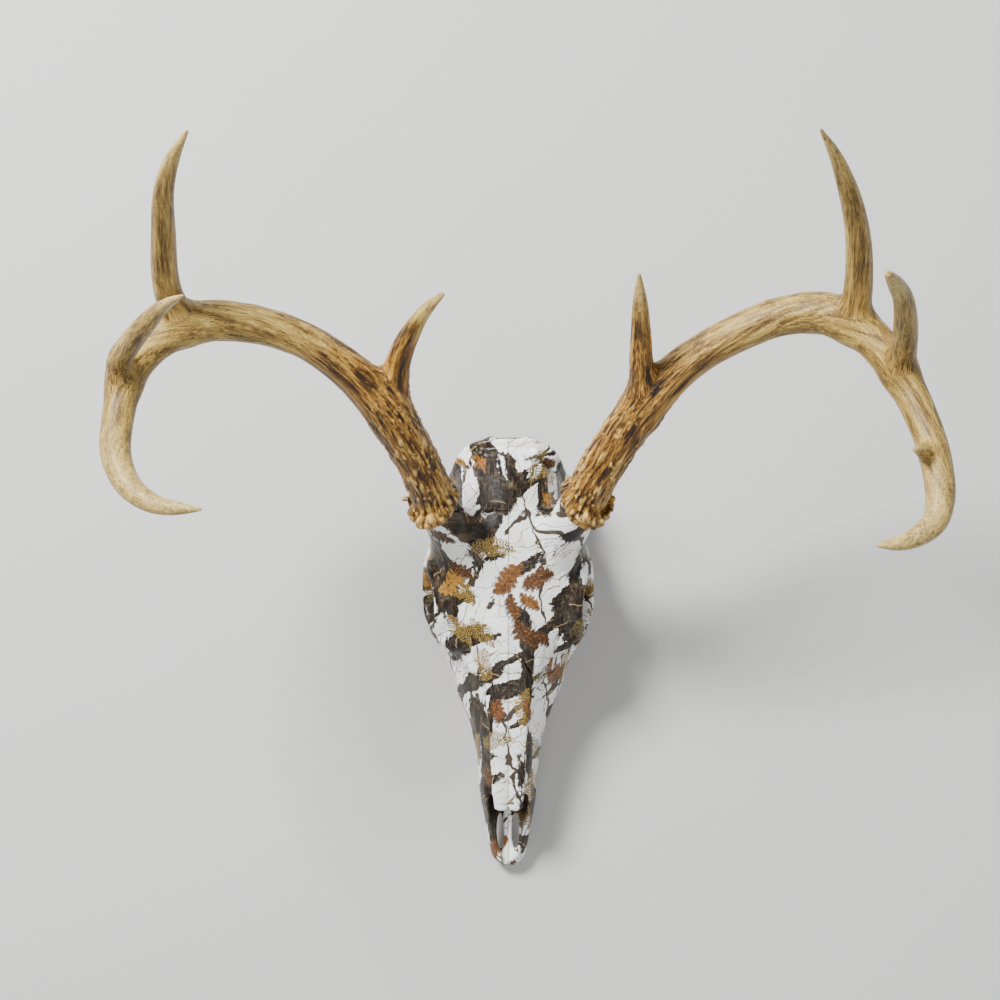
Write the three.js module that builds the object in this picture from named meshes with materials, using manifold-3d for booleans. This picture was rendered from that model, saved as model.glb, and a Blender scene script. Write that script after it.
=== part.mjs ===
// Skull of a white-tailed deer buck with its antlers, life size, lying on its cheek teeth and on
// the two processes behind the ears. Millimetres, +Z up.
// Skull coordinates: out is the distance from the middle plane, back the distance behind the tip
// of the nose, up the height above the floor. Right is +X, and the nose points along -Y.

import * as THREE from "three";
import { mergeVertices } from "three/addons/utils/BufferGeometryUtils.js";
import Module from "manifold-3d";

const wasm = await Module();
wasm.setup();

// Driving sizes
const GAP = 0.3; // seam between neighbouring bones
const SKULL_LENGTH = 285;
const FAR = 400; // reaches past the model on every side
const TOLERANCE = 0.05; // points closer than this become one

const BONE = { color: 0xe9e7e1, roughness: 0.35, metalness: 0 };
const ANTLER_BROWN = { color: 0x8a6434, roughness: 0.6, metalness: 0 };
const ANTLER_TAN = { color: 0xb59a6a, roughness: 0.55, metalness: 0 };

// Snout: low and high are half widths at the floor and roof of a section that is wider below.
const SNOUT = [
  { back: 0.5, low: 4.5, high: 3, floor: 6, roof: 11, power: 2.2 },
  { back: 5, low: 10.5, high: 8, floor: 5, roof: 14, power: 2.3 },
  { back: 14, low: 14, high: 10.5, floor: 5, roof: 20, power: 2.4 },
  { back: 27, low: 16.8, high: 12, floor: 7, roof: 29, power: 2.5 },
  { back: 39, low: 19.3, high: 13, floor: 9, roof: 39, power: 2.5 },
  { back: 50, low: 21.8, high: 13.5, floor: 11, roof: 47, power: 2.5 },
  { back: 68, low: 23.6, high: 14, floor: 13, roof: 53.5, power: 2.4 },
  { back: 86, low: 27, high: 15, floor: 13, roof: 59.5, power: 2.4 },
  { back: 102, low: 33, high: 16.5, floor: 13, roof: 64.5, power: 2.4 },
  { back: 114, low: 39.5, high: 18, floor: 13.5, roof: 68.5, power: 2.3 },
  { back: 127, low: 45.5, high: 21.5, floor: 15, roof: 72.5, power: 2.3 },
  { back: 138, low: 46, high: 25, floor: 17, roof: 76, power: 2.2 },
  { back: 150, low: 42, high: 30, floor: 22, roof: 80, power: 2.1 },
  { back: 160, low: 32, high: 33, floor: 32, roof: 83, power: 2.1 },
];

// Middle of the skull: the walls between the two eye sockets, above the passage to the throat.
const CORE = [
  { back: 140, low: 26, high: 26, floor: 38, roof: 76, power: 2.4 },
  { back: 158, low: 19, high: 28, floor: 40, roof: 84, power: 2.4 },
  { back: 176, low: 14, high: 28, floor: 40, roof: 88, power: 2.4 },
  { back: 192, low: 16, high: 30, floor: 36, roof: 92, power: 2.4 },
  { back: 206, low: 24, high: 32, floor: 31, roof: 96, power: 2.3 },
  { back: 218, low: 31, high: 33, floor: 27, roof: 99, power: 2.3 },
];

const BRAINCASE = [
  { back: 196, low: 20, high: 24, floor: 34, roof: 90, power: 2.2 },
  { back: 210, low: 31, high: 30, floor: 27, roof: 97, power: 2.2 },
  { back: 226, low: 37, high: 33, floor: 23, roof: 100.5, power: 2.2 },
  { back: 242, low: 39, high: 32.5, floor: 22, roof: 97.5, power: 2.2 },
  { back: 256, low: 38.5, high: 31, floor: 22, roof: 90.5, power: 2.2 },
  { back: 267, low: 35, high: 30, floor: 23, roof: 83.5, power: 2.2 },
  { back: 276, low: 29.5, high: 26.5, floor: 27, roof: 76, power: 2.2 },
  { back: 281.5, low: 22, high: 20, floor: 34, roof: 68.5, power: 2.2 },
];

// Brow: the roof plate of the frontal bones, which overhangs the eye sockets and the temples.
const BROW = [
  { back: 128, low: 20, high: 17, floor: 60, roof: 73, power: 2.3 },
  { back: 142, low: 30, high: 21, floor: 60, roof: 78, power: 2.3 },
  { back: 154, low: 43, high: 25, floor: 62, roof: 82, power: 2.3 },
  { back: 165, low: 54, high: 29, floor: 65, roof: 86, power: 2.3 },
  { back: 177, low: 62, high: 33, floor: 67, roof: 89.5, power: 2.3 },
  { back: 189, low: 59, high: 36, floor: 67, roof: 93.5, power: 2.3 },
  { back: 200, low: 52, high: 37, floor: 66, roof: 97, power: 2.3 },
  { back: 212, low: 47, high: 37, floor: 68, roof: 100, power: 2.3 },
  { back: 226, low: 42, high: 35, floor: 68, roof: 102, power: 2.3 },
  { back: 239, low: 36, high: 31, floor: 66, roof: 99.5, power: 2.3 },
];

// Underside of the braincase, between the ear capsules.
const SKULL_BASE = [
  { back: 196, low: 12, high: 14, floor: 27, roof: 50, power: 2.3 },
  { back: 222, low: 12, high: 16, floor: 21, roof: 45, power: 2.3 },
  { back: 250, low: 11, high: 18, floor: 17, roof: 42, power: 2.3 },
  { back: 277, low: 10, high: 16, floor: 15, roof: 40, power: 2.3 },
];

const NASAL_CAVITY = [
  { back: -4, low: 2, high: 2, floor: 13, roof: 60, power: 3 },
  { back: 10, low: 5, high: 7, floor: 10.5, roof: 60, power: 3 },
  { back: 26, low: 11, high: 9.5, floor: 12, roof: 62, power: 3 },
  { back: 42, low: 14, high: 10.5, floor: 14, roof: 62, power: 3 },
  { back: 50, low: 14.5, high: 11, floor: 14.5, roof: 62, power: 3 },
  { back: 52, low: 14.5, high: 10.5, floor: 14.5, roof: 43, power: 2.6 },
  { back: 68, low: 15.5, high: 11, floor: 18, roof: 49, power: 2.4 },
  { back: 90, low: 11, high: 8, floor: 24, roof: 49, power: 2.2 },
];

const THROAT_PASSAGE = [
  { back: 146, low: 8, high: 7, floor: 12, roof: 31, power: 2.4 },
  { back: 154, low: 10, high: 9, floor: 2, roof: 37, power: 2.4 },
  { back: 178, low: 10.5, high: 9.5, floor: -4, roof: 37, power: 2.4 },
  { back: 200, low: 11, high: 10, floor: -4, roof: 28, power: 2.4 },
  { back: 216, low: 11, high: 9, floor: -4, roof: 20, power: 2.4 },
];

const SOCKET = { out: 46, back: 181, up: 61, radius: 19.5, depth: 27, tilt: 10 };
const SOCKET_RIM = { radius: 20.3, thick: 3.4, wide: 4.4 };

// Bars and processes: wide is the half size across the bar sideways, tall the half size upwards.
const CHEEK_ARCH = [
  { out: 31, back: 136, up: 34, wide: 5, tall: 9 },
  { out: 41, back: 152, up: 38, wide: 5, tall: 8.5 },
  { out: 49.5, back: 168, up: 40, wide: 4.2, tall: 6.5 },
  { out: 52.5, back: 186, up: 41.5, wide: 3.6, tall: 5.5 },
  { out: 51.5, back: 202, up: 43.5, wide: 3.2, tall: 5.5 },
  { out: 48, back: 218, up: 46, wide: 3, tall: 5 },
  { out: 41, back: 232, up: 47, wide: 4, tall: 5 },
  { out: 34, back: 240, up: 47, wide: 5, tall: 5.5 },
];
const SOCKET_BAR = [
  { out: 48, back: 203, up: 78, wide: 4.5, tall: 6 },
  { out: 48.5, back: 202, up: 62, wide: 3, tall: 5 },
  { out: 51, back: 201, up: 45, wide: 3, tall: 6 },
];
const EAR_PROCESS = [
  { out: 28, back: 264, up: 36, wide: 7, tall: 8 },
  { out: 29, back: 267, up: 20, wide: 4.2, tall: 7 },
  { out: 27, back: 266, up: 8, wide: 3, tall: 5 },
  { out: 27, back: 266, up: -3, wide: 2.6, tall: 4 },
];
const NAPE_CREST = [
  { out: 33, back: 262, up: 47, wide: 3.5, tall: 3.5 },
  { out: 31.5, back: 270.5, up: 57, wide: 3.2, tall: 3.2 },
  { out: 24, back: 279, up: 65.5, wide: 3, tall: 3 },
  { out: 12, back: 282.8, up: 70, wide: 2.5, tall: 2.8 },
  { out: 0, back: 283, up: 71, wide: 2.5, tall: 2.8 },
];
const WING_PLATE = [
  { out: 11.5, back: 158, up: 24, wide: 2.2, tall: 12 },
  { out: 12, back: 175, up: 23, wide: 1.6, tall: 16 },
  { out: 12, back: 190, up: 23, wide: 1.6, tall: 14 },
  { out: 12, back: 204, up: 30, wide: 2, tall: 7 },
];
const NASAL_PLATE = [
  { out: 5, back: 43.5, up: 44.6, wide: 4.6, tall: 1.7 },
  { out: 5.4, back: 56, up: 49, wide: 5.2, tall: 2.3 },
  { out: 6.1, back: 84, up: 57.5, wide: 6, tall: 2.4 },
  { out: 6.7, back: 106, up: 64.2, wide: 6.8, tall: 2.4 },
  { out: 7.2, back: 122, up: 69, wide: 8, tall: 2.3 },
  { out: 5.5, back: 138, up: 74.4, wide: 5.5, tall: 2 },
  { out: 2, back: 148, up: 78, wide: 1.2, tall: 1.6 },
];
const PEDICLE = [
  { out: 31, back: 217, up: 80, radius: 17 },
  { out: 34.5, back: 224, up: 93, radius: 15 },
  { out: 39, back: 232, up: 106, radius: 13.6 },
  { out: 47.6, back: 245.6, up: 123, radius: 13.2 },
];
const BURR_TILT = new THREE.Vector3(0.52, 0.43, 0.74).normalize(); // way the burr faces, out side

// Lumps: [out, back, up] of the middle and the three half sizes.
const LUMPS = {
  condyle: { at: [11.5, 280.5, 25], half: [8, 7.5, 9.5] },
  earCapsule: { at: [21, 247, 20], half: [7.5, 12.5, 8.5] },
  mastoid: { at: [32, 256, 38], half: [8, 11, 15] },
  jawJoint: { at: [38, 231, 44], half: [9, 11, 6] },
  cheekKnob: { at: [30, 158, 27], half: [8, 13, 15] },
  tearBone: { at: [38, 157, 58], half: [9, 11, 15] },
};
const HOLLOWS = {
  tearPit: { at: [43, 148, 64], half: [6, 9, 7] },
  faceGap: { at: [25, 138, 74], half: [4, 13, 9] },
  browHole: { at: [27, 194, 95], half: [2.6, 4, 8] },
  cheekHole: { at: [28, 90, 33], half: [7, 4.5, 3.4] },
  earHole: { at: [41, 247, 38], half: [9, 3.6, 3.6] },
  noseNotch: { at: [12.3, 51.5, 46], half: [2.7, 6.5, 9.5] },
};
const NECK_HOLE = { up: 38, wide: 10.5, tall: 9.5, depth: 24 };
const PALATE_SLOT = { out: 5.2, from: 12, to: 36, wide: 2.2 };

// Cheek teeth, front to back: length along the row and half width. Molars have two lobes.
const TEETH = [
  { length: 9.5, half: 4, lobes: 1 },
  { length: 10, half: 5, lobes: 1 },
  { length: 10, half: 5.6, lobes: 1 },
  { length: 14, half: 6.2, lobes: 2 },
  { length: 16, half: 6.8, lobes: 2 },
  { length: 16, half: 6.6, lobes: 2 },
];
const TOOTH_ROW = { start: 89, outStart: 19.5, outEnd: 26.5, bow: 1.6, root: 24 };

// Antlers: foot is the middle of the burr's underside, the beam's stations run from just under
// it to the tip, and cuts say where the lengths part: along the beam as a share of its line, and
// on each tine as a distance from its first station.
const LEFT_ANTLER = {
  side: -1,
  foot: { out: 45.6, back: 243.2, up: 119.2 },
  beam: [
    { out: 44.4, back: 239.9, up: 114.6, radius: 13.4 },
    { out: 50, back: 256, up: 136, radius: 13.2 },
    { out: 60, back: 277, up: 157, radius: 13.3 },
    { out: 73.5, back: 300, up: 177, radius: 13.8 },
    { out: 94, back: 322, up: 192, radius: 12 },
    { out: 124, back: 341, up: 206, radius: 10.8 },
    { out: 155, back: 349.5, up: 213, radius: 11.8 },
    { out: 182, back: 349, up: 219, radius: 12.8 },
    { out: 203, back: 339, up: 226, radius: 11.8 },
    { out: 219, back: 317, up: 236, radius: 10.6 },
    { out: 223.5, back: 293, up: 246, radius: 9.7 },
    { out: 222, back: 268, up: 259, radius: 9 },
    { out: 212.5, back: 252, up: 268, radius: 7.6 },
    { out: 197, back: 243, up: 275, radius: 5.8 },
    { out: 183, back: 240.8, up: 278, radius: 3.8 },
    { out: 172.5, back: 240.5, up: 279.5, radius: 1.6 },
  ],
  tines: {
    brow: [
      { out: 73, back: 296, up: 168, radius: 9.5 },
      { out: 68.5, back: 312, up: 178, radius: 8.2 },
      { out: 66.2, back: 326, up: 190, radius: 7.5 },
      { out: 57.5, back: 344, up: 212, radius: 5.9 },
      { out: 52.4, back: 351, up: 223, radius: 4.8 },
      { out: 46, back: 357.6, up: 233, radius: 3.6 },
      { out: 38.6, back: 363.5, up: 241, radius: 1.8 },
    ],
    second: [
      { out: 190, back: 347, up: 218, radius: 9.5 },
      { out: 195.5, back: 364, up: 239, radius: 8.6 },
      { out: 193.5, back: 395, up: 275, radius: 7.4 },
      { out: 189, back: 417, up: 303, radius: 6 },
      { out: 181.5, back: 431, up: 322, radius: 4.3 },
      { out: 172, back: 442, up: 338, radius: 1.5 },
    ],
    third: [
      { out: 222, back: 312, up: 237, radius: 8.5 },
      { out: 222, back: 324, up: 252, radius: 7.7 },
      { out: 214.5, back: 332, up: 268, radius: 7.1 },
      { out: 203.5, back: 340.3, up: 290, radius: 6.5 },
      { out: 192.4, back: 348, up: 309, radius: 4.9 },
      { out: 182.7, back: 352.2, up: 326, radius: 3.1 },
      { out: 174.2, back: 354.2, up: 340, radius: 1.4 },
    ],
  },
  cuts: { brow: 36, second: 24, third: 24, beam: [0.15, 0.51, 0.79] },
};
const RIGHT_ANTLER = {
  side: 1,
  foot: { out: 46.4, back: 243.2, up: 119.2 },
  beam: [
    { out: 45, back: 239.9, up: 114.6, radius: 13.4 },
    { out: 52, back: 256, up: 136, radius: 13.4 },
    { out: 63, back: 276, up: 155, radius: 13.3 },
    { out: 79, back: 300, up: 174, radius: 13.4 },
    { out: 104, back: 326, up: 192, radius: 11.6 },
    { out: 137, back: 345, up: 205, radius: 11.2 },
    { out: 163, back: 354, up: 212, radius: 11.8 },
    { out: 186, back: 354, up: 218, radius: 12.8 },
    { out: 206, back: 343, up: 226, radius: 12 },
    { out: 224.5, back: 318, up: 236, radius: 10.9 },
    { out: 235, back: 294, up: 246, radius: 9.9 },
    { out: 242, back: 264, up: 259, radius: 9.4 },
    { out: 242, back: 245, up: 267, radius: 8.7 },
    { out: 238.5, back: 234, up: 271, radius: 7.8 },
    { out: 228.2, back: 225.5, up: 275, radius: 6.4 },
    { out: 216.4, back: 221.5, up: 278.5, radius: 4.6 },
    { out: 205, back: 220.5, up: 281, radius: 1.8 },
  ],
  tines: {
    brow: [
      { out: 81, back: 299, up: 168, radius: 9.5 },
      { out: 79, back: 319, up: 192, radius: 7.8 },
      { out: 77, back: 341, up: 216, radius: 6.2 },
      { out: 75.3, back: 360, up: 234, radius: 4.4 },
      { out: 74, back: 374, up: 246, radius: 1.5 },
    ],
    second: [
      { out: 200, back: 347, up: 219, radius: 9.5 },
      { out: 200, back: 366, up: 240, radius: 8.8 },
      { out: 194, back: 397, up: 276, radius: 7.4 },
      { out: 183, back: 420, up: 306, radius: 5.6 },
      { out: 174, back: 433.5, up: 323.5, radius: 3.6 },
      { out: 165.5, back: 443, up: 337, radius: 1.4 },
    ],
    third: [
      { out: 225, back: 318, up: 235, radius: 8.5 },
      { out: 224, back: 332, up: 253, radius: 8.1 },
      { out: 220.5, back: 345, up: 280, radius: 7.2 },
      { out: 214, back: 357, up: 307, radius: 6 },
      { out: 207, back: 362.5, up: 325, radius: 4.8 },
      { out: 201.5, back: 366, up: 337, radius: 2.8 },
    ],
    kicker: [
      { out: 237, back: 272, up: 260, radius: 4.8 },
      { out: 231.5, back: 273, up: 270, radius: 3.2 },
      { out: 226.5, back: 274, up: 277.5, radius: 1.5 },
    ],
  },
  cuts: { brow: 36, second: 24, third: 24, kicker: null, beam: [0.15, 0.5, 0.745] },
};
const BURR = { beads: 12, radius: 15.6, bulge: 1.1, height: 7 };
const BEAM_SIDES = 10;
const TINE_SIDES = 8;
const BEAM_STEPS = 36;
const TINE_STEPS = 8;

// Geometry to solid and back

function solidOf(geometry) {
  const plain = geometry.clone();
  plain.deleteAttribute("normal");
  plain.deleteAttribute("uv");
  const merged = mergeVertices(plain, 1e-4);
  return new wasm.Manifold(
    new wasm.Mesh({
      numProp: 3,
      vertProperties: new Float32Array(merged.attributes.position.array),
      triVerts: new Uint32Array(merged.index.array),
      tolerance: TOLERANCE,
    }),
  );
}

function geometryOf(solid) {
  const mesh = solid.getMesh();
  const geometry = new THREE.BufferGeometry();
  geometry.setAttribute("position", new THREE.BufferAttribute(mesh.vertProperties, 3));
  geometry.setIndex(new THREE.BufferAttribute(mesh.triVerts, 1));
  geometry.computeVertexNormals();
  return geometry;
}

// Skin over a stack of equal rings of points, closed at both ends by a fan of triangles. Seen
// from the far end of the stack, each ring runs clockwise.
function skinOf(rings) {
  const count = rings[0].length;
  const middle = (ring) =>
    ring.reduce((sum, p) => sum.add(p), new THREE.Vector3()).divideScalar(count);
  const points = [...rings.flat(), middle(rings[0]), middle(rings.at(-1))];
  const first = points.length - 2;
  const last = points.length - 1;
  const top = (rings.length - 1) * count;
  const faces = [];
  for (let j = 0; j < count; j++) {
    const k = (j + 1) % count;
    for (let base = 0; base < top; base += count) {
      faces.push(base + j, base + count + j, base + count + k);
      faces.push(base + j, base + count + k, base + k);
    }
    faces.push(first, j, k);
    faces.push(last, top + k, top + j);
  }
  return new THREE.BufferGeometry().setFromPoints(points).setIndex(faces);
}

const signedPower = (value, power) => Math.sign(value) * Math.abs(value) ** power;

// Body of rounded sections that stand across the skull's length.
function loft(stations, sides) {
  const rings = stations.map(({ back, low, high, floor, roof, power }) => {
    const half = (roof - floor) / 2;
    return Array.from({ length: sides }, (_, j) => {
      const angle = (2 * Math.PI * j) / sides;
      const lift = signedPower(Math.sin(angle), 2 / power);
      const wide = low + ((high - low) * (lift + 1)) / 2;
      const x = wide * signedPower(Math.cos(angle), 2 / power);
      return new THREE.Vector3(x, back, floor + half * (lift + 1));
    });
  });
  return solidOf(skinOf(rings));
}

const placed = ({ out, back, up }, side = 1) => new THREE.Vector3(side * out, back, up);

// Smooth line through stations, and the smooth run of one of their sizes along it.
function pathOf(stations, side) {
  return new THREE.CatmullRomCurve3(
    stations.map((s) => placed(s, side)),
    false,
    "catmullrom",
    0.5,
  );
}
function sizeRun(stations, name) {
  const run = new THREE.SplineCurve(stations.map((s, i) => new THREE.Vector2(i, s[name])));
  return (t) => run.getPoint(t).y;
}

// Round horn along a path, its section turned as little as possible. The flats of the section,
// and not its corners, lie on the radius.
function horn(stations, side, sides, steps) {
  const swell = 1 / Math.cos(Math.PI / sides);
  const curve = pathOf(stations, side);
  const sizes = sizeRun(stations, "radius");
  const radius = (t) => swell * sizes(t);
  const frames = curve.computeFrenetFrames(steps, false);
  const rings = Array.from({ length: steps + 1 }, (_, i) => {
    const t = curve.getUtoTmapping(i / steps);
    const centre = curve.getPoint(t);
    return Array.from({ length: sides }, (_, j) => {
      const angle = (2 * Math.PI * j) / sides;
      return centre
        .clone()
        .addScaledVector(frames.binormals[i], radius(t) * Math.cos(angle))
        .addScaledVector(frames.normals[i], radius(t) * Math.sin(angle));
    });
  });
  return solidOf(skinOf(rings));
}

// Flat bar along a path: wide is measured across the reference direction, tall along it.
function bar(stations, side, reference, sides = 10, steps = 14) {
  const curve = pathOf(stations, side);
  const wide = sizeRun(stations, "wide");
  const tall = sizeRun(stations, "tall");
  const rings = Array.from({ length: steps + 1 }, (_, i) => {
    const t = i / steps;
    const centre = curve.getPoint(t);
    const along = curve.getTangent(t);
    const across = new THREE.Vector3().crossVectors(along, reference).normalize();
    const lift = new THREE.Vector3().crossVectors(across, along);
    return Array.from({ length: sides }, (_, j) => {
      const angle = (2 * Math.PI * j) / sides;
      return centre
        .clone()
        .addScaledVector(across, wide(t) * Math.cos(angle))
        .addScaledVector(lift, tall(t) * Math.sin(angle));
    });
  });
  return solidOf(skinOf(rings));
}

function ellipsoid({ at, half }, side, around = 9, rows = 6) {
  const ball = new THREE.SphereGeometry(1, around, rows);
  ball.scale(...half).translate(side * at[0], at[1], at[2]);
  return solidOf(ball);
}

function box(low, high) {
  const size = high.map((h, i) => h - low[i]);
  const brick = new THREE.BoxGeometry(...size);
  brick.translate(...low.map((l, i) => l + size[i] / 2));
  return solidOf(brick);
}

const joined = (solids) => solids.reduce((sum, solid) => sum.add(solid));
const largest = (solid) =>
  solid.decompose().reduce((best, piece) => (piece.volume() > best.volume() ? piece : best));
const bothSides = (make) => [make(-1), make(1)];

// Skull

const UP = new THREE.Vector3(0, 0, 1);
const BACK = new THREE.Vector3(0, 1, 0);

// Turns a shape about the middle of an eye socket so that its axis looks outwards and a little up.
function atSocket(geometry, side) {
  const tilt = THREE.MathUtils.degToRad(SOCKET.tilt);
  geometry.applyMatrix4(new THREE.Matrix4().makeRotationY(-side * tilt));
  geometry.translate(side * SOCKET.out, SOCKET.back, SOCKET.up);
  return solidOf(geometry);
}

function socketRim(side) {
  const ring = new THREE.TorusGeometry(SOCKET_RIM.radius, SOCKET_RIM.thick, 6, 16);
  ring.scale(1, 1, SOCKET_RIM.wide / SOCKET_RIM.thick).rotateY(Math.PI / 2);
  return atSocket(ring, side);
}

function socketHollow(side) {
  const bowl = new THREE.SphereGeometry(1, 14, 9);
  bowl.scale(SOCKET.depth, SOCKET.radius, SOCKET.radius);
  return atSocket(bowl, side);
}

// One lobe of a cheek tooth: a short round prism, flat where it bites.
function lobe(out, back, half, length, side) {
  const crown = new THREE.CylinderGeometry(1, 0.86, TOOTH_ROW.root, 7);
  crown.rotateX(Math.PI / 2).scale(half, length / 2, 1);
  crown.translate(side * out, back, TOOTH_ROW.root / 2);
  return solidOf(crown);
}

function toothRow(side) {
  const total = TEETH.reduce((sum, tooth) => sum + tooth.length, 0);
  const lobes = [];
  let front = 0;
  for (const { length, half, lobes: count } of TEETH) {
    const each = length / count;
    for (let i = 0; i < count; i++) {
      const along = front + each * (i + 0.5);
      const share = along / total;
      const bow = TOOTH_ROW.bow * Math.sin(Math.PI * share);
      const out = TOOTH_ROW.outStart + (TOOTH_ROW.outEnd - TOOTH_ROW.outStart) * share + bow;
      lobes.push(lobe(out, TOOTH_ROW.start + along, half, each * 1.12, side));
    }
    front += length;
  }
  return joined(lobes);
}

function neckHole() {
  const drill = new THREE.CylinderGeometry(1, 0.8, NECK_HOLE.depth, 16);
  drill.scale(NECK_HOLE.wide, 1, NECK_HOLE.tall);
  drill.translate(0, SKULL_LENGTH + 4 - NECK_HOLE.depth / 2, NECK_HOLE.up);
  return solidOf(drill);
}

function palateSlot(side) {
  const length = PALATE_SLOT.to - PALATE_SLOT.from;
  const slot = new THREE.CylinderGeometry(1, 1, 40, 10);
  slot.rotateX(Math.PI / 2).scale(PALATE_SLOT.wide, length / 2, 1);
  slot.translate(side * PALATE_SLOT.out, (PALATE_SLOT.to + PALATE_SLOT.from) / 2, 2);
  return solidOf(slot);
}

function wholeSkull() {
  const grown = joined([
    loft(SNOUT, 16),
    loft(CORE, 12),
    loft(BRAINCASE, 16),
    loft(BROW, 14),
    loft(SKULL_BASE, 10),
    ...bothSides((side) => bar(CHEEK_ARCH, side, UP, 8, 9)),
    ...bothSides((side) => bar(SOCKET_BAR, side, BACK, 8, 3)),
    ...bothSides(socketRim),
    ...bothSides((side) => bar(NAPE_CREST, side, BACK, 6, 6)),
    ...bothSides((side) => horn(PEDICLE, side, 12, 4)),
    ...Object.values(LUMPS).flatMap((lump) => bothSides((side) => ellipsoid(lump, side))),
  ]);
  const opened = [
    loft(NASAL_CAVITY, 12),
    loft(THROAT_PASSAGE, 10),
    ...bothSides(socketHollow),
    neckHole(),
    ...bothSides(palateSlot),
    ...Object.values(HOLLOWS).flatMap((hollow) =>
      bothSides((side) => ellipsoid(hollow, side, 8, 6)),
    ),
  ].reduce((solid, hollow) => solid.subtract(hollow), grown);
  const added = joined([
    opened,
    ...bothSides((side) => bar(NASAL_PLATE, side, UP, 8, 7)),
    ...bothSides((side) => bar(EAR_PROCESS, side, BACK, 8, 5)),
    ...bothSides((side) => bar(WING_PLATE, side, UP, 6, 5)),
    ...bothSides(toothRow),
  ]);
  const floor = box([-FAR, -FAR, -FAR], [FAR, FAR, 0]);
  const burrs = [LEFT_ANTLER, RIGHT_ANTLER].map((antler) => burrBrick(antler, 1, GAP));
  return largest([floor, ...burrs].reduce((solid, cut) => solid.subtract(cut), added));
}

// Plan outline of one nasal bone, from its tip back: distance from the middle at each station.
const NASAL_EDGE = [
  [10, 38],
  [10.6, 50],
  [11.2, 64],
  [12, 84],
  [13.5, 104],
  [16, 122],
  [15, 134],
  [8, 145],
  [0.15, 149],
];
const NASAL_PLANE = { back: 45, up: 42, slope: 17.2 };

function nasalRegion(side, grow) {
  const outline = new THREE.Shape();
  outline.moveTo(side * (GAP / 2 - grow), NASAL_EDGE[0][1] - 30);
  NASAL_EDGE.forEach(([out, back], i) => {
    const behind = i > NASAL_EDGE.length - 3 ? grow : 0;
    outline.lineTo(side * (out + grow), back + behind);
  });
  outline.lineTo(side * (GAP / 2 - grow), NASAL_EDGE.at(-1)[1] + grow);
  const slab = new THREE.ExtrudeGeometry(outline, { depth: 60, bevelEnabled: false });
  slab.translate(0, -NASAL_PLANE.back, -grow);
  slab.rotateX(THREE.MathUtils.degToRad(NASAL_PLANE.slope));
  slab.translate(0, NASAL_PLANE.back, NASAL_PLANE.up);
  return solidOf(slab);
}

// Region in front of a plane that leans back as it rises.
function slantRegion(side, grow, { back, lean, up }) {
  const brick = new THREE.BoxGeometry(FAR, FAR, FAR);
  brick.translate(0, -FAR / 2 + grow, 0);
  brick.rotateX(THREE.MathUtils.degToRad(-lean));
  brick.translate(side * (FAR / 2 + GAP / 2 - grow), back, up);
  return solidOf(brick);
}

// Box region of one side: the middle plane is its inner wall where from is nought.
function sideBox(side, grow, [from, to], [front, rear], [low, high]) {
  const inner = (from || GAP / 2) - grow;
  const a = side * inner;
  const b = side * (to + grow);
  return box(
    [Math.min(a, b), front - grow, low - grow],
    [Math.max(a, b), rear + grow, high + grow],
  );
}

// Bones in the order they are parted: each takes its region of what is left.
const SUTURES = {
  nasal: (side, grow) => nasalRegion(side, grow),
  premaxilla: (side, grow) => slantRegion(side, grow, { back: 52, lean: 38, up: 30 }),
  maxilla: (side, grow) =>
    joined([
      sideBox(side, grow, [0, FAR], [-9, 132], [-9, FAR]),
      sideBox(side, grow, [0, FAR], [-9, 148], [-9, 52]),
      sideBox(side, grow, [13, FAR], [-9, 176], [-9, 31]),
    ]),
  cheekbone: (side, grow) => sideBox(side, grow, [31.5, FAR], [120, 213], [31.5, 60]),
  frontal: (side, grow) =>
    joined([
      sideBox(side, grow, [0, FAR], [120, 239], [62, FAR]),
      sideBox(side, grow, [22, FAR], [205, 260], [88, FAR]),
    ]),
  temporal: (side, grow) => sideBox(side, grow, [17, FAR], [205, 262], [-9, 58]),
};

function partedSkull() {
  let left = wholeSkull();
  const bones = [];
  for (const [name, region] of Object.entries(SUTURES)) {
    for (const [side, word] of [
      [-1, "left"],
      [1, "right"],
    ]) {
      bones.push([`${name}_${word}`, largest(left.intersect(region(side, 0)))]);
      left = left.subtract(region(side, GAP));
    }
  }
  const occiput = (grow) => box([-FAR, 262 - grow, -9], [FAR, FAR, FAR]);
  bones.push(["occipital", largest(left.intersect(occiput(0)))]);
  left = left.subtract(occiput(GAP));
  const vault = (grow) => box([-FAR, 205 - grow, 58 - grow], [FAR, FAR, FAR]);
  bones.push(["parietal", largest(left.intersect(vault(0)))]);
  bones.push(["sphenoid", largest(left.subtract(vault(GAP)))]);
  return bones;
}

// Antlers

// Thin round blade across a path, as far along it as the distance says.
function blade(curve, share, radius) {
  const disc = new THREE.CylinderGeometry(radius, radius, GAP, 20);
  const along = curve.getTangentAt(share);
  disc.applyQuaternion(new THREE.Quaternion().setFromUnitVectors(BACK, along));
  disc.translate(...curve.getPointAt(share));
  return solidOf(disc);
}

// Turns a shape made about the origin so that its +Z faces as the burr does, and sets it there.
function atBurr(antler, geometry) {
  const facing = BURR_TILT.clone().setX(antler.side * BURR_TILT.x);
  const turn = new THREE.Quaternion().setFromUnitVectors(UP, facing);
  return solidOf(geometry.applyQuaternion(turn).translate(...placed(antler.foot, antler.side)));
}

// Brick on one side of the burr's plane: above it for +1, below it for -1.
function burrBrick(antler, way, gap) {
  const size = BURR.radius * 3.4;
  const shift = way * (size / 2 - gap);
  return atBurr(antler, new THREE.BoxGeometry(size, size, size).translate(0, 0, shift));
}

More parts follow.
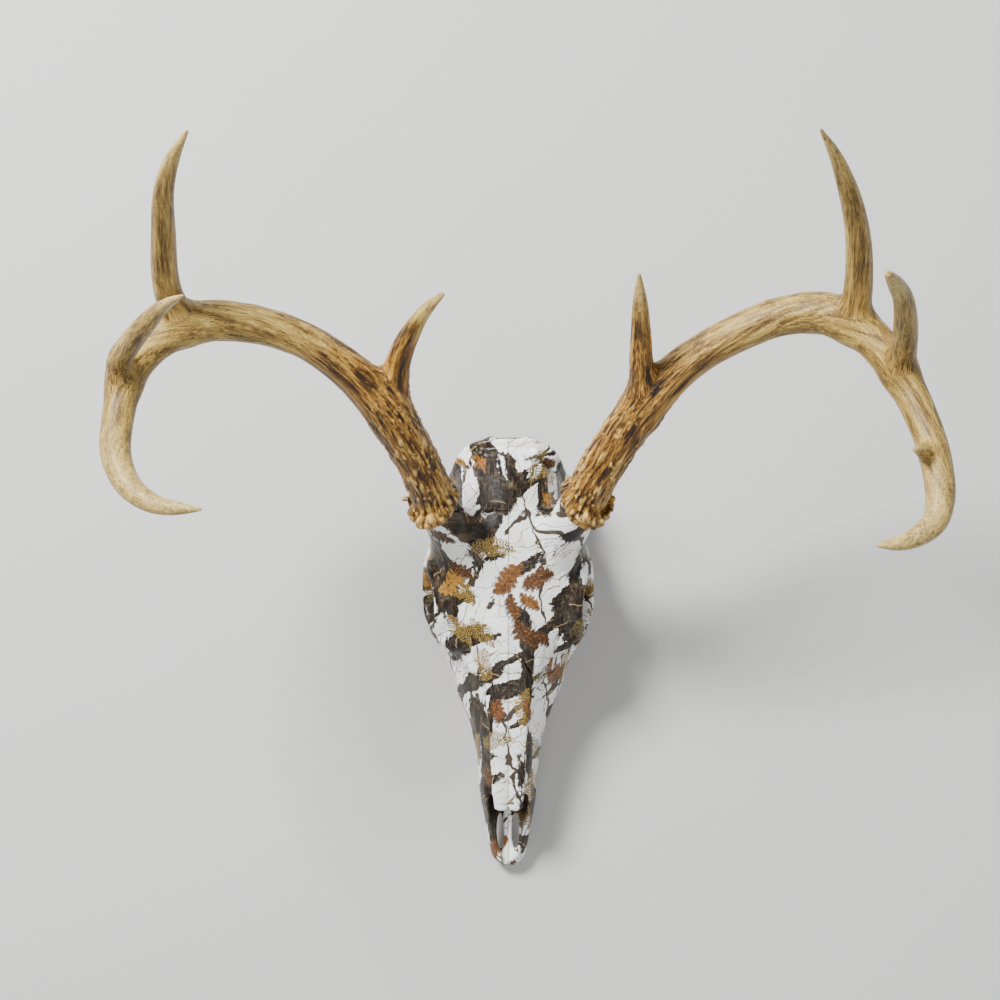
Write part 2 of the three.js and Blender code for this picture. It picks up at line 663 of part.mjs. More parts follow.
// Knobbly ring of bone round the foot of the beam.
function burrRing(antler) {
  const sides = 2 * BURR.beads;
  const rings = [-0.2, 0.3, 0.75, 1].map((share) => {
    const swell = 0.78 + 0.22 * Math.sin(Math.PI * (0.24 + 0.6 * share));
    return Array.from({ length: sides }, (_, i) => {
      const angle = (2 * Math.PI * i) / sides;
      const bead = BURR.bulge * (i % 2 ? 1 : -0.6) * (1 + 0.5 * Math.sin(2.3 * i));
      const radius = (BURR.radius + bead) * swell;
      const x = radius * Math.cos(angle);
      const y = -radius * Math.sin(angle);
      return new THREE.Vector3(x, y, BURR.height * share);
    });
  });
  return atBurr(antler, skinOf(rings));
}

function partedAntler(antler, word) {
  const { side, beam, tines, cuts } = antler;
  const beamLine = pathOf(beam, side);
  const shape = joined([
    horn(beam, side, BEAM_SIDES, BEAM_STEPS),
    burrRing(antler),
    ...Object.values(tines).map((tine) => horn(tine, side, TINE_SIDES, TINE_STEPS)),
  ]).subtract(burrBrick(antler, -1, 0));

  const expected = [];
  const blades = cuts.beam.map((share) => blade(beamLine, share, 22));
  const names = ["base", "lower_beam", "outer_beam", "beam_tip"];
  [0, ...cuts.beam].forEach((share, i) => {
    const next = cuts.beam[i] ?? 1;
    expected.push([`antler_${word}_${names[i]}`, beamLine.getPointAt((share + next) / 2)]);
  });
  for (const [name, tine] of Object.entries(tines)) {
    if (!cuts[name]) continue;
    const line = pathOf(tine, side);
    const share = cuts[name] / line.getLength();
    blades.push(blade(line, share, 11.5));
    expected.push([`antler_${word}_${name}_tine`, line.getPointAt((1 + share) / 2)]);
  }
  const pieces = blades.reduce((solid, knife) => solid.subtract(knife), shape).decompose();
  const centre = (piece) => {
    const { min, max } = piece.boundingBox();
    return new THREE.Vector3(...min).add(new THREE.Vector3(...max)).divideScalar(2);
  };
  return expected.map(([name, spot]) => {
    const near = (piece) => centre(piece).distanceTo(spot);
    return [name, pieces.reduce((best, piece) => (near(piece) < near(best) ? piece : best))];
  });
}

// Model

const group = new THREE.Group();
for (const [name, solid] of partedSkull()) {
  const mesh = new THREE.Mesh(geometryOf(solid), new THREE.MeshStandardMaterial(BONE));
  mesh.name = name;
  group.add(mesh);
}
for (const [antler, word] of [
  [LEFT_ANTLER, "left"],
  [RIGHT_ANTLER, "right"],
]) {
  for (const [name, solid] of partedAntler(antler, word)) {
    const finish = name.endsWith("base") ? ANTLER_BROWN : ANTLER_TAN;
    const mesh = new THREE.Mesh(geometryOf(solid), new THREE.MeshStandardMaterial(finish));
    mesh.name = name;
    group.add(mesh);
  }
}

// The origin is on the floor under the middle of the model's box.
const reach = new THREE.Box3().setFromObject(group);
const middle = reach.getCenter(new THREE.Vector3());
group.position.set(-middle.x, -middle.y, -reach.min.z);

export default group;
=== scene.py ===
"""A white-tailed buck's skull with its antlers, wrapped in a winter woodland print.

The skull and the antlers are grown as one surface each: every bone, bar, hollow and tine is a
formula for the distance to its own surface, the formulas are joined smoothly on a grid of points
in space, and the level where the joint distance is nought is meshed. Lengths are millimetres in
the skull's own frame until a mesh is made: out from the middle plane, back from the tip of the
nose, up from the floor.
"""

from __future__ import annotations

import logging
from dataclasses import dataclass
from enum import Enum, IntEnum

import bpy
import numpy as np
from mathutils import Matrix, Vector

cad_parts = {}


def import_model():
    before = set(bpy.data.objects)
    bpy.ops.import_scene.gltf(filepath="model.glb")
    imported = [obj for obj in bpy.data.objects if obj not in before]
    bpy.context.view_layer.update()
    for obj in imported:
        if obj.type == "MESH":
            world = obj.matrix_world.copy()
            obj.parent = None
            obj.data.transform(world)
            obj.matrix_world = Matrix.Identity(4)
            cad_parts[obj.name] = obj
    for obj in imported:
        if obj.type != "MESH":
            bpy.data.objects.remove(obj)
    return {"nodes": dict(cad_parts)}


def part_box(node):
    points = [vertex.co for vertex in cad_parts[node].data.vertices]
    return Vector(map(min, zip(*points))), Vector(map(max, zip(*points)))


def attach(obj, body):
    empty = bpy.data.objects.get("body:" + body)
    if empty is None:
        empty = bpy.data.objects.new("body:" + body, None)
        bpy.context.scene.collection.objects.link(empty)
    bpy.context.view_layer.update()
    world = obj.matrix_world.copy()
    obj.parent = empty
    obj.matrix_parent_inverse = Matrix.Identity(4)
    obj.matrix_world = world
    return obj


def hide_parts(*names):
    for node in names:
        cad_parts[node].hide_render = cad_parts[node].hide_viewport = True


LOG = logging.getLogger("skull")
MM = 0.001
FAR = 60.0  # distance given to points that no form reaches
TINY = 1e-6  # keeps a division off nought
TRACE_BLOCK = 4000  # points traced at a time, to spare memory

Array = np.ndarray
Place = tuple[float, float, float]
Row = tuple[float, ...]


class Side(Enum):
    """The animal's sides as the photo shows them, by the sign of the distance out."""

    LEFT = -1
    RIGHT = 1


class Slot(Enum):
    """Names of material slots; nothing in the build reads them."""

    BONE = "printed_bone"
    TEETH = "teeth"
    ANTLER = "antler"


class Seed(IntEnum):
    """Picks a noise of its own for each use."""

    LUMPS = 3
    FINE_LUMPS = 4
    GROOVE = 11
    FINE_GROOVE = 12
    PEARL = 21
    DRIFT = 31


# Numbers on arrays

HASH_STEPS = (374761393, 668265263, 2147483647)
HASH_SEED_STEP = 974634777
HASH_FACTOR = 1274126177
HASH_TOP = 0xFFFF


def smooth_run(at: Array, places: Array, values: Array) -> Array:
    """Carries a size smoothly through its stations.

    Between two stations it is the cubic whose slopes at both are the centred differences of the
    stations round them.

    Args:
        at: Places to read, held inside the first and last station.
        places: Rising places of the stations.
        values: Size at each station.

    Returns:
        The size at each place of at.
    """
    slopes = np.gradient(values, places)
    at = np.clip(at, places[0], places[-1])
    i = np.clip(np.searchsorted(places, at) - 1, 0, len(places) - 2)
    gap = places[i + 1] - places[i]
    t = (at - places[i]) / gap
    rise = values[i + 1] - values[i]
    start = slopes[i] * gap
    end = slopes[i + 1] * gap
    bend = start + end - 2 * rise
    return values[i] + t * (start + t * (3 * rise - 2 * start - end + t * bend))


def hash_noise(cells: Array, seed: int) -> Array:
    """Even random numbers from 0 to 1, one for each whole-number cell.

    Args:
        cells: Whole numbers, three in the last axis.
        seed: Picks another set of numbers.

    Returns:
        One number for each cell.
    """
    mixed = sum(cells[..., k] * step for k, step in enumerate(HASH_STEPS))
    mixed = (mixed + int(seed) * HASH_SEED_STEP) & 0xFFFFFFFF
    mixed = ((mixed ^ (mixed >> 13)) * HASH_FACTOR) & 0xFFFFFFFF
    return ((mixed ^ (mixed >> 16)) & HASH_TOP) / HASH_TOP


def wave_noise(points: Array, seed: int) -> Array:
    """Smooth noise: the numbers of the eight corners of a point's cell, eased between.

    Args:
        points: Places, three in the last axis, one cell to a unit.
        seed: Picks another noise.

    Returns:
        Noise from -1 to 1.
    """
    base = np.floor(points).astype(np.int64)
    part = points - base
    part = part * part * (3 - 2 * part)
    total = np.zeros(points.shape[:-1])
    for corner in np.ndindex(2, 2, 2):
        weight = np.prod(np.where(corner, part, 1 - part), axis=-1)
        total += weight * hash_noise(base + np.array(corner), seed)
    return 2 * total - 1


def bead_noise(points: Array, seed: int) -> Array:
    """Round beads: the distance to the nearest of the points strewn one to a cell.

    Args:
        points: Places, three in the last axis, one bead to a unit cell.
        seed: Picks another strewing.

    Returns:
        The distance in cells, nought in the middle of a bead.
    """
    base = np.floor(points).astype(np.int64)
    best = np.full(points.shape[:-1], FAR)
    for step in np.ndindex(3, 3, 3):
        cell = base + np.array(step) - 1
        spot = cell + np.stack([hash_noise(cell, seed + k) for k in range(3)], axis=-1)
        best = np.minimum(best, np.linalg.norm(points - spot, axis=-1))
    return best


def ease(value: Array, low: float, high: float) -> Array:
    """Nought below low, one above high, and an S curve between."""
    t = np.clip((value - low) / (high - low), 0, 1)
    return t * t * (3 - 2 * t)


# Forms: each gives the box that it fills and the distance to its surface


@dataclass(frozen=True)
class Loft:
    """Rounded sections that stand across the skull's length.

    Attributes:
        stations: Rows of back, low, high, floor, roof and power: low and high are the half
            widths at the floor and the roof, and power squares the section's corners.
    """

    stations: tuple[Row, ...]

    def reach(self) -> tuple[Array, Array]:
        """Lowest and highest corner of the form."""
        table = np.array(self.stations)
        wide = table[:, 1:3].max()
        low = np.array([-wide, table[0, 0], table[:, 3].min()])
        return low, np.array([wide, table[-1, 0], table[:, 4].max()])

    def distance(self, x: Array, y: Array, z: Array) -> Array:
        """Distance to the section's superellipse, cut off level at both ends.

        With t from -1 at the floor to 1 at the roof and w the half width at t, it is the root
        of power p of |x / w| to the p plus |t| to the p, less one, times the smaller half size.

        Args:
            x: Distance out.
            y: Distance back.
            z: Height.

        Returns:
            Distance, negative inside.
        """
        table = np.array(self.stations)
        runs = [smooth_run(y, table[:, 0], table[:, k]) for k in range(1, 6)]
        low, high, floor, roof, power = runs
        half = (roof - floor) / 2
        lift = (z - floor) / half - 1
        wide = low + (high - low) * (np.clip(lift, -1, 1) + 1) / 2
        ring = (np.abs(x / wide) ** power + np.abs(lift) ** power) ** (1 / power)
        inside = (ring - 1) * np.minimum(wide, half)
        return np.maximum(inside, np.maximum(table[0, 0] - y, y - table[-1, 0]))


@dataclass(frozen=True)
class Lump:
    """Ellipsoid with its middle at a place and three half sizes."""

    middle: Place
    half: Place

    def reach(self) -> tuple[Array, Array]:
        """Lowest and highest corner of the form."""
        return np.subtract(self.middle, self.half), np.add(self.middle, self.half)

    def distance(self, x: Array, y: Array, z: Array) -> Array:
        """Length of the offset counted in half sizes, less one, times the least of them."""
        parts = zip((x, y, z), self.middle, self.half)
        square = sum(((v - m) / h) ** 2 for v, m, h in parts)
        return (np.sqrt(square) - 1) * min(self.half)


@dataclass(frozen=True)
class Hoop:
    """Ring round an axis, such as the rim of an eye socket."""

    middle: Place
    axis: Place
    radius: float
    thick: float
    wide: float

    def reach(self) -> tuple[Array, Array]:
        """Lowest and highest corner of a cube that holds the ring."""
        around = self.radius + max(self.thick, self.wide)
        return np.subtract(self.middle, around), np.add(self.middle, around)

    def distance(self, x: Array, y: Array, z: Array) -> Array:
        """Distance to an oval of thick across the ring and wide along its axis."""
        axis = np.array(self.axis) / np.linalg.norm(self.axis)
        off = [v - m for v, m in zip((x, y, z), self.middle)]
        along = sum(o * a for o, a in zip(off, axis))
        across = np.sqrt(np.maximum(sum(o * o for o in off) - along**2, 0)) - self.radius
        oval = np.sqrt((across / self.thick) ** 2 + (along / self.wide) ** 2)
        return (oval - 1) * min(self.thick, self.wide)


@dataclass(frozen=True)
class Link:
    """Short straight piece of a limb, from one oval section to the next."""

    start: Array
    end: Array
    wide: tuple[float, float]
    tall: tuple[float, float]
    across: Array

    def reach(self) -> tuple[Array, Array]:
        """Lowest and highest corner of the form."""
        most = max(*self.wide, *self.tall)
        return np.minimum(self.start, self.end) - most, np.maximum(self.start, self.end) + most

    def distance(self, x: Array, y: Array, z: Array) -> Array:
        """Distance to the oval round the nearest point of the piece's middle line.

        The offset from that point is split across, lifted and along the limb, and each part is
        counted in its own half size.
        """
        run = self.end - self.start
        length = np.linalg.norm(run)
        along = run / length
        lift = np.cross(self.across, along)
        off = [x - self.start[0], y - self.start[1], z - self.start[2]]
        far = sum(o * a for o, a in zip(off, along))
        t = np.clip(far / length, 0, 1)
        beyond = far - t * length
        wide = self.wide[0] + (self.wide[1] - self.wide[0]) * t
        tall = self.tall[0] + (self.tall[1] - self.tall[0]) * t
        least = np.minimum(wide, tall)
        side = sum(o * a for o, a in zip(off, self.across)) / wide
        rise = sum(o * a for o, a in zip(off, lift)) / tall
        return (np.sqrt(side**2 + rise**2 + (beyond / least) ** 2) - 1) * least


@dataclass(frozen=True)
class Limb:
    """Bar, plate or tine along a smooth path.

    Attributes:
        stations: Rows of x, y, z, wide and tall, the half sizes across the limb and along the
            reference direction.
        reference: Direction that tall is measured along, as nearly as the path allows.
        pitch: Length of the straight pieces that the path is made of.
    """

    stations: tuple[Row, ...]
    reference: Place = (0, 0, 1)
    pitch: float = 3.0

    def samples(self) -> Array:
        """Rows of x, y, z, wide and tall at even steps along the path."""
        table = np.array(self.stations, float)
        steps = np.linalg.norm(np.diff(table[:, :3], axis=0), axis=1)
        place = np.concatenate([[0], np.cumsum(steps)])
        at = np.linspace(0, place[-1], max(2, int(place[-1] / self.pitch) + 1))
        return np.stack([smooth_run(at, place, table[:, k]) for k in range(5)], axis=1)

    def links(self) -> list[Link]:
        """The straight pieces of the limb."""
        rows = self.samples()
        pieces = []
        for a, b in zip(rows[:-1], rows[1:]):
            across = np.cross(b[:3] - a[:3], self.reference)
            across /= np.linalg.norm(across)
            pieces.append(Link(a[:3], b[:3], (a[3], b[3]), (a[4], b[4]), across))
        return pieces

    def reach(self) -> tuple[Array, Array]:
        """Lowest and highest corner of the form."""
        corners = [link.reach() for link in self.links()]
        return np.min([c[0] for c in corners], axis=0), np.max([c[1] for c in corners], axis=0)


def horn(*stations: tuple[float, float, float, float]) -> Limb:
    """Round limb from rows of x, y, z and radius."""
    return Limb(tuple((x, y, z, r, r) for x, y, z, r in stations))


Form = Loft | Lump | Hoop | Link | Limb


# Space


class Space:
    """Grid of distances that forms are joined to and cut from."""

    def __init__(self, low: Array, high: Array, step: float) -> None:
        """Fills the box from low to high with empty space.

        Args:
            low: Lowest corner.
            high: Highest corner.
            step: Distance between neighbouring points.
        """
        self.low = np.array(low, float)
        self.step = step
        counts = np.ceil((np.array(high) - self.low) / step).astype(int) + 1
        self.field = np.full(counts, FAR, np.float32)

    def window(self, form: Form, margin: float) -> tuple[slice, ...]:
        """Slices of the grid that hold a form and a margin round it."""
        low, high = form.reach()
        first = np.floor((low - margin - self.low) / self.step).astype(int)
        last = np.ceil((high + margin - self.low) / self.step).astype(int) + 1
        limits = zip(first, last, self.field.shape)
        return tuple(slice(min(max(a, 0), n), min(max(b, 0), n)) for a, b, n in limits)

    def places(self, window: tuple[slice, ...]) -> list[Array]:
        """The window's coordinates as three arrays that spread against each other."""
        axes = [self.low[k] + self.step * np.arange(s.start, s.stop) for k, s in enumerate(window)]
        return list(np.ix_(*axes))

    def everywhere(self) -> list[Array]:
        """The whole grid's coordinates, as places gives them."""
        return self.places(tuple(slice(0, n) for n in self.field.shape))

    def reading(self, form: Form, margin: float) -> tuple:
        """Distance to a form in its window.

        A limb is the nearest of its links, each worked out in its own small window.

        Args:
            form: The form.
            margin: How far round the form the distance is needed.

        Returns:
            The window, and the distances in it.
        """
        window = self.window(form, margin)
        if not isinstance(form, Limb):
            return window, form.distance(*self.places(window)).astype(np.float32)
        part = np.full(self.field[window].shape, FAR, np.float32)
        for link in form.links():
            small = self.window(link, margin)
            inner = tuple(slice(s.start - w.start, s.stop - w.start) for s, w in zip(small, window))
            near = link.distance(*self.places(small)).astype(np.float32)
            part[inner] = np.minimum(part[inner], near)
        return window, part

    def join(self, form: Form, blend: float = 2.0) -> None:
        """Adds a form, its root flared by the blend distance.

        The lesser of the two distances, less a quarter of the square of how far they are within
        the blend of each other, over the blend.
        """
        window, part = self.reading(form, blend + 2 * self.step)
        here = self.field[window]
        near = np.maximum(blend - np.abs(here - part), 0)
        self.field[window] = np.minimum(here, part) - near * near / (4 * blend)

    def carve(self, form: Form, blend: float = 1.5) -> None:
        """Cuts a form out, its edge rounded by the blend distance."""
        window, part = self.reading(form, blend + 2 * self.step)
        here = self.field[window]
        near = np.maximum(blend - np.abs(here + part), 0)
        self.field[window] = np.maximum(here, -part) + near * near / (4 * blend)

    def keep(self, cut: Array, blend: float = 0.6) -> Array:
        """The field held to where cut is negative, as a new array."""
        near = np.maximum(blend - np.abs(self.field - cut), 0)
        return np.maximum(self.field, cut) + near * near / (4 * blend)

    def skin(self, field: Array) -> tuple[Array, Array]:
        """Meshes the level where the field is nought.

        Every cell that the surface crosses gets one point, the mean of where its edges are
        crossed, and every crossed edge of the grid gets the four-sided face between the points
        of the four cells round it.

        Args:
            field: Distances on this grid, positive on all its outer faces.

        Returns:
            Points in millimetres, and faces of four points, seen anticlockwise from outside.
        """
        solid = field < 0
        corners = list(np.ndindex(2, 2, 2))
        trim = [slice(0, -1), slice(1, None)]
        count = sum(solid[tuple(trim[c] for c in corner)].astype(np.int8) for corner in corners)
        cells = np.argwhere((count > 0) & (count < 8))
        number = np.full(count.shape, -1, np.int32)
        number[tuple(cells.T)] = np.arange(len(cells))
        values = {c: field[tuple((cells + np.array(c)).T)] for c in corners}
        points = np.zeros((len(cells), 3))
        crossings = np.zeros(len(cells))
        for corner in corners:
            for axis in range(3):
                if corner[axis]:
                    continue
                other = tuple(1 if k == axis else c for k, c in enumerate(corner))
                a, b = values[corner], values[other]
                crossed = (a < 0) != (b < 0)
                share = np.where(crossed, a / np.where(crossed, a - b, 1), 0)
                spot = np.array(corner, float) + share[:, None] * np.eye(3)[axis]
                points += crossed[:, None] * spot
                crossings += crossed
        points = self.low + self.step * (cells + points / crossings[:, None])
        faces = []
        for axis in range(3):
            one, two = (axis + 1) % 3, (axis + 2) % 3
            near = [slice(1, -1)] * 3
            near[axis] = slice(0, -1)
            far = list(near)
            far[axis] = slice(1, None)
            here, there = solid[tuple(near)], solid[tuple(far)]
            for leaving in (True, False):
                edges = np.argwhere(here & ~there if leaving else ~here & there)
                edges[:, one] += 1
                edges[:, two] += 1
                ring = [(1, 1), (0, 1), (0, 0), (1, 0)]
                quad = []
                for u, v in ring if leaving else ring[::-1]:
                    cell = edges.copy()
                    cell[:, one] -= u
                    cell[:, two] -= v
                    quad.append(number[tuple(cell.T)])
                faces.append(np.stack(quad, axis=1))
        return points, np.concatenate(faces)


def main_shell(points: Array, faces: Array) -> tuple[Array, Array]:
    """Keeps the largest of a skin's separate shells, so that no crumb floats beside a piece.

    Two faces are joined by an edge that no third one shares. Every face starts with its own
    number, takes the lowest number across its edges, then the number that stands at that number,
    until nothing changes.

    Args:
        points: Points of the skin.
        faces: Faces of the skin.

    Returns:
        Points and faces of the shell with the most faces.
    """
    ends = np.sort(np.stack([faces, np.roll(faces, -1, axis=1)], axis=2), axis=2).astype(np.int64)
    keys = ends[..., 0] * len(points) + ends[..., 1]
    _, edges, sharing = np.unique(keys.ravel(), return_inverse=True, return_counts=True)
    edges = edges.reshape(faces.shape)
    crowded = sharing > 2
    shell = np.arange(len(faces))
    while True:
        lowest = np.full(len(sharing), len(faces))
        for side in range(faces.shape[1]):
            np.minimum.at(lowest, edges[:, side], shell)
        lowest[crowded] = len(faces)
        joined = np.minimum(shell, lowest[edges].min(axis=1))
        joined = joined[joined]
        if np.array_equal(joined, shell):
            break
        shell = joined
    faces = faces[shell == np.bincount(shell).argmax()]
    used, numbered = np.unique(faces, return_inverse=True)
    return points[used], numbered.reshape(faces.shape)


def normals_of(points: Array, faces: Array) -> Array:
    """Unit normal at each point: the sum of the crossed diagonals of the faces round it."""
    crossed = np.cross(
        points[faces[:, 2]] - points[faces[:, 0]], points[faces[:, 3]] - points[faces[:, 1]]
    )
    total = np.zeros_like(points)
    for k in range(3):
        for corner in range(4):
            total[:, k] += np.bincount(faces[:, corner], crossed[:, k], len(points))
    return total / np.maximum(np.linalg.norm(total, axis=1), 1e-9)[:, None]


def relaxed(points: Array, faces: Array, rounds: int = 2) -> Array:
    """Evens out a skin: each point moves half way to the mean of its neighbours, each round."""
    ends = np.concatenate([faces[:, [k, (k + 1) % 4]] for k in range(4)])
    share = np.bincount(ends[:, 0], minlength=len(points)) + 0.0
    for _ in range(rounds):
        mean = [np.bincount(ends[:, 0], points[ends[:, 1], k], len(points)) for k in range(3)]
        points = (points + np.stack(mean, axis=1) / share[:, None]) / 2
    return points


# The skull's place in the row's frame


@dataclass(frozen=True)
class Anchor:
    """Where the skull's own frame sits: its middle plane and the tip of its nose, in metres."""

    middle: float
    nose: float

    @staticmethod
    def from_frame() -> Anchor:
        """Reads the middle plane between the nasal bones and the front of the jaw bones."""
        left_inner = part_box("nasal_left")[1][0]
        right_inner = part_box("nasal_right")[0][0]
        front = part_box("premaxilla_left")[0][1] - NOSE_START * MM
        return Anchor((left_inner + right_inner) / 2, front)

    def placed(self, points: Array) -> Array:
        """Points of the skull's frame in metres in the row's frame."""
        return points * MM + np.array([self.middle, self.nose, 0.0])


def mesh_piece(
    name: str,
    points: Array,
    faces: Array,
    anchor: Anchor,
    stands_for: tuple[str, ...],
    marks: dict[str, Array] | None = None,
    film: Array | None = None,
) -> bpy.types.Object:
    """Makes a smooth-shaded piece that rides on the skull.

    Args:
        name: The piece's name.
        points: Points in millimetres in the skull's frame.
        faces: Rows of three or four point numbers.
        anchor: Where the skull's frame sits.
        stands_for: CAD nodes that the piece replaces.
        marks: Numbers at each point, by name, for the materials.
        film: Place of each point on the unrolled print, in metres.

    Returns:
        The new object.
    """
    sides = faces.shape[1]
    mesh = bpy.data.meshes.new(name)
    mesh.vertices.add(len(points))
    mesh.vertices.foreach_set("co", anchor.placed(points).astype(np.float32).ravel())
    mesh.loops.add(faces.size)
    mesh.loops.foreach_set("vertex_index", faces.astype(np.int32).ravel())
    mesh.polygons.add(len(faces))
    mesh.polygons.foreach_set("loop_start", np.arange(0, faces.size, sides, dtype=np.int32))
    mesh.polygons.foreach_set("use_smooth", np.ones(len(faces), bool))
    for mark, values in (marks or {}).items():
        kind, field = ("FLOAT", "value") if values.ndim == 1 else ("FLOAT_VECTOR", "vector")
        layer = mesh.attributes.new(mark, kind, "POINT")
        layer.data.foreach_set(field, values.astype(np.float32).ravel())
    if film is not None:
        layer = mesh.uv_layers.new(name="film")
        layer.data.foreach_set("uv", film[faces.ravel()].astype(np.float32).ravel())
    mesh.update(calc_edges=True)
    mesh.validate()
    piece = bpy.data.objects.new(name, mesh)
    bpy.context.scene.collection.objects.link(piece)
    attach(piece, "root")
    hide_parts(*stands_for)
    LOG.info("%s: %d points, %d faces", name, len(points), len(faces))
    return piece


# Stations of the skull: back, low, high, floor, roof, power

NOSE_START = 0.5
SNOUT = Loft((
    (0.5, 4.5, 3, 6, 11, 2.2),
    (5, 10.5, 8, 5, 14, 2.3),
    (14, 14, 10.5, 5, 20, 2.4),
    (27, 16.8, 12, 7, 29, 2.5),
    (39, 19.3, 13, 9, 39, 2.5),
    (50, 21.8, 13.5, 11, 47, 2.5),
    (68, 23.6, 14, 13, 53.5, 2.4),
    (86, 27, 15, 13, 59.5, 2.4),
    (102, 33, 16.5, 13, 64.5, 2.4),
    (114, 39.5, 18, 13.5, 68.5, 2.3),
    (127, 45.5, 21.5, 15, 72.5, 2.3),
    (138, 46, 25, 17, 76, 2.2),
    (150, 42, 30, 22, 80, 2.1),
    (160, 32, 33, 32, 83, 2.1),
))
CORE = Loft((
    (140, 26, 26, 38, 76, 2.4),
    (158, 19, 28, 40, 84, 2.4),
    (176, 14, 28, 40, 88, 2.4),
    (192, 16, 30, 36, 92, 2.4),
    (206, 24, 32, 31, 96, 2.3),
    (218, 31, 33, 27, 99, 2.3),
))
BRAINCASE = Loft((
    (196, 20, 24, 34, 90, 2.2),
    (210, 31, 30, 27, 97, 2.2),
    (226, 37, 33, 23, 100.5, 2.2),
    (242, 39, 32.5, 22, 97.5, 2.2),
    (256, 38.5, 31, 22, 90.5, 2.2),
    (267, 35, 30, 23, 83.5, 2.2),
    (276, 29.5, 26.5, 27, 76, 2.2),
    (281.5, 22, 20, 34, 68.5, 2.2),
))
BROW = Loft((
    (128, 20, 17, 60, 73, 2.3),
    (142, 30, 21, 60, 78, 2.3),
    (154, 43, 25, 62, 82, 2.3),
    (165, 54, 29, 65, 86, 2.3),
    (177, 62, 33, 67, 89.5, 2.3),
    (189, 59, 36, 67, 93.5, 2.3),
    (200, 52, 37, 66, 97, 2.3),
    (212, 47, 37, 68, 100, 2.3),
    (226, 42, 35, 68, 102, 2.3),
    (239, 36, 31, 66, 99.5, 2.3),
))
SKULL_BASE = Loft((
    (196, 12, 14, 27, 50, 2.3),
    (222, 12, 16, 21, 45, 2.3),
    (250, 11, 18, 17, 42, 2.3),
    (277, 10, 16, 15, 40, 2.3),
))
NASAL_CAVITY = Loft((
    (-4, 2, 2, 13, 60, 3),
    (10, 5, 7, 10.5, 60, 3),
    (26, 11, 9.5, 12, 62, 3),
    (42, 14, 10.5, 14, 62, 3),
    (50, 14.5, 11, 14.5, 62, 3),
    (52, 14.5, 10.5, 14.5, 43, 2.6),
    (68, 15.5, 11, 18, 49, 2.4),
    (90, 11, 8, 24, 49, 2.2),
))
THROAT_PASSAGE = Loft((
    (146, 8, 7, 12, 31, 2.4),
    (154, 10, 9, 2, 37, 2.4),
    (178, 10.5, 9.5, -4, 37, 2.4),
    (200, 11, 10, -4, 28, 2.4),
    (216, 11, 9, -4, 20, 2.4),
))

# Bars, plates and ridges of one side: x, y, z, then half sizes

CHEEK_ARCH = Limb((
    (31, 136, 34, 5, 9),
    (41, 152, 38, 5, 8.5),
    (49.5, 168, 40, 4.2, 6.5),
    (52.5, 186, 41.5, 3.6, 5.5),
    (51.5, 202, 43.5, 3.2, 5.5),
    (48, 218, 46, 3, 5),
    (41, 232, 47, 4, 5),
    (34, 240, 47, 5, 5.5),
))
SOCKET_BAR = Limb(((48, 203, 78, 4.5, 6), (48.5, 202, 62, 3, 5), (51, 201, 45, 3, 6)), (0, 1, 0))
EAR_PROCESS = Limb((
    (28, 264, 36, 7, 8),
    (29, 267, 20, 4.2, 7),
    (27, 266, 8, 3, 5),
    (27, 266, -3, 2.6, 4),
), (0, 1, 0))
NAPE_CREST = Limb((
    (33, 262, 47, 3.5, 3.5),
    (31.5, 270.5, 57, 3.2, 3.2),
    (24, 279, 65.5, 3, 3),
    (12, 282.8, 70, 2.5, 2.8),
    (0, 283, 71, 2.5, 2.8),
), (0, 1, 0))
WING_PLATE = Limb((
    (11.5, 158, 24, 2.2, 12),
    (12, 175, 23, 1.6, 16),
    (12, 190, 23, 1.6, 14),
    (12, 204, 30, 2, 7),
))
TEMPLE_LINE = horn((30, 228, 95, 2.4), (26, 240, 87.6, 1.9), (24, 254, 81.6, 1.9), (22, 266, 76, 1.8),
                   (17.5, 276, 71.5, 1.8))
PEDICLE = horn((31, 217, 80, 17), (34.5, 224, 93, 15), (39, 232, 106, 13.6), (47.6, 245.6, 123, 13.2))
SOCKET = (46.0, 181.0, 61.0)
SOCKET_AXIS = (0.985, 0.0, 0.17)
SOCKET_RIM = Hoop(SOCKET, SOCKET_AXIS, 20.3, 3.2, 4.2)
NASAL_PLATE = Limb((
    (5, 43.5, 44.6, 4.6, 1.7),
    (5.4, 56, 49, 5.2, 2.3),
    (6.1, 84, 57.5, 6, 2.4),
    (6.7, 106, 64.2, 6.8, 2.4),
    (7.2, 122, 69, 8, 2.3),
    (5.5, 138, 74.4, 5.5, 2),
    (2, 148, 78, 1.2, 1.6),
))
NAPE_FURROW = horn((28.5, 262, 63, 2), (23, 269.5, 71.5, 2.4), (12, 274.5, 78, 2.4), (0, 276, 79.5, 2.4))
BROW_GROOVE = horn((26.5, 198, 98.6, 1.6), (26, 186, 94.6, 1.7), (24, 172, 90.4, 1.4), (22, 160, 86.6, 1))
SIDE_FORMS = {
    "condyle": Lump((11.5, 280.5, 25), (8, 7.5, 9.5)),
    "ear capsule": Lump((21, 247, 20), (7.5, 12.5, 8.5)),
    "mastoid": Lump((32, 256, 38), (8, 11, 15)),
    "jaw joint": Lump((38, 231, 44), (9, 11, 6)),
    "cheek knob": Lump((30, 158, 27), (8, 13, 15)),
    "tear bone": Lump((38, 157, 58), (9, 11, 15)),
}
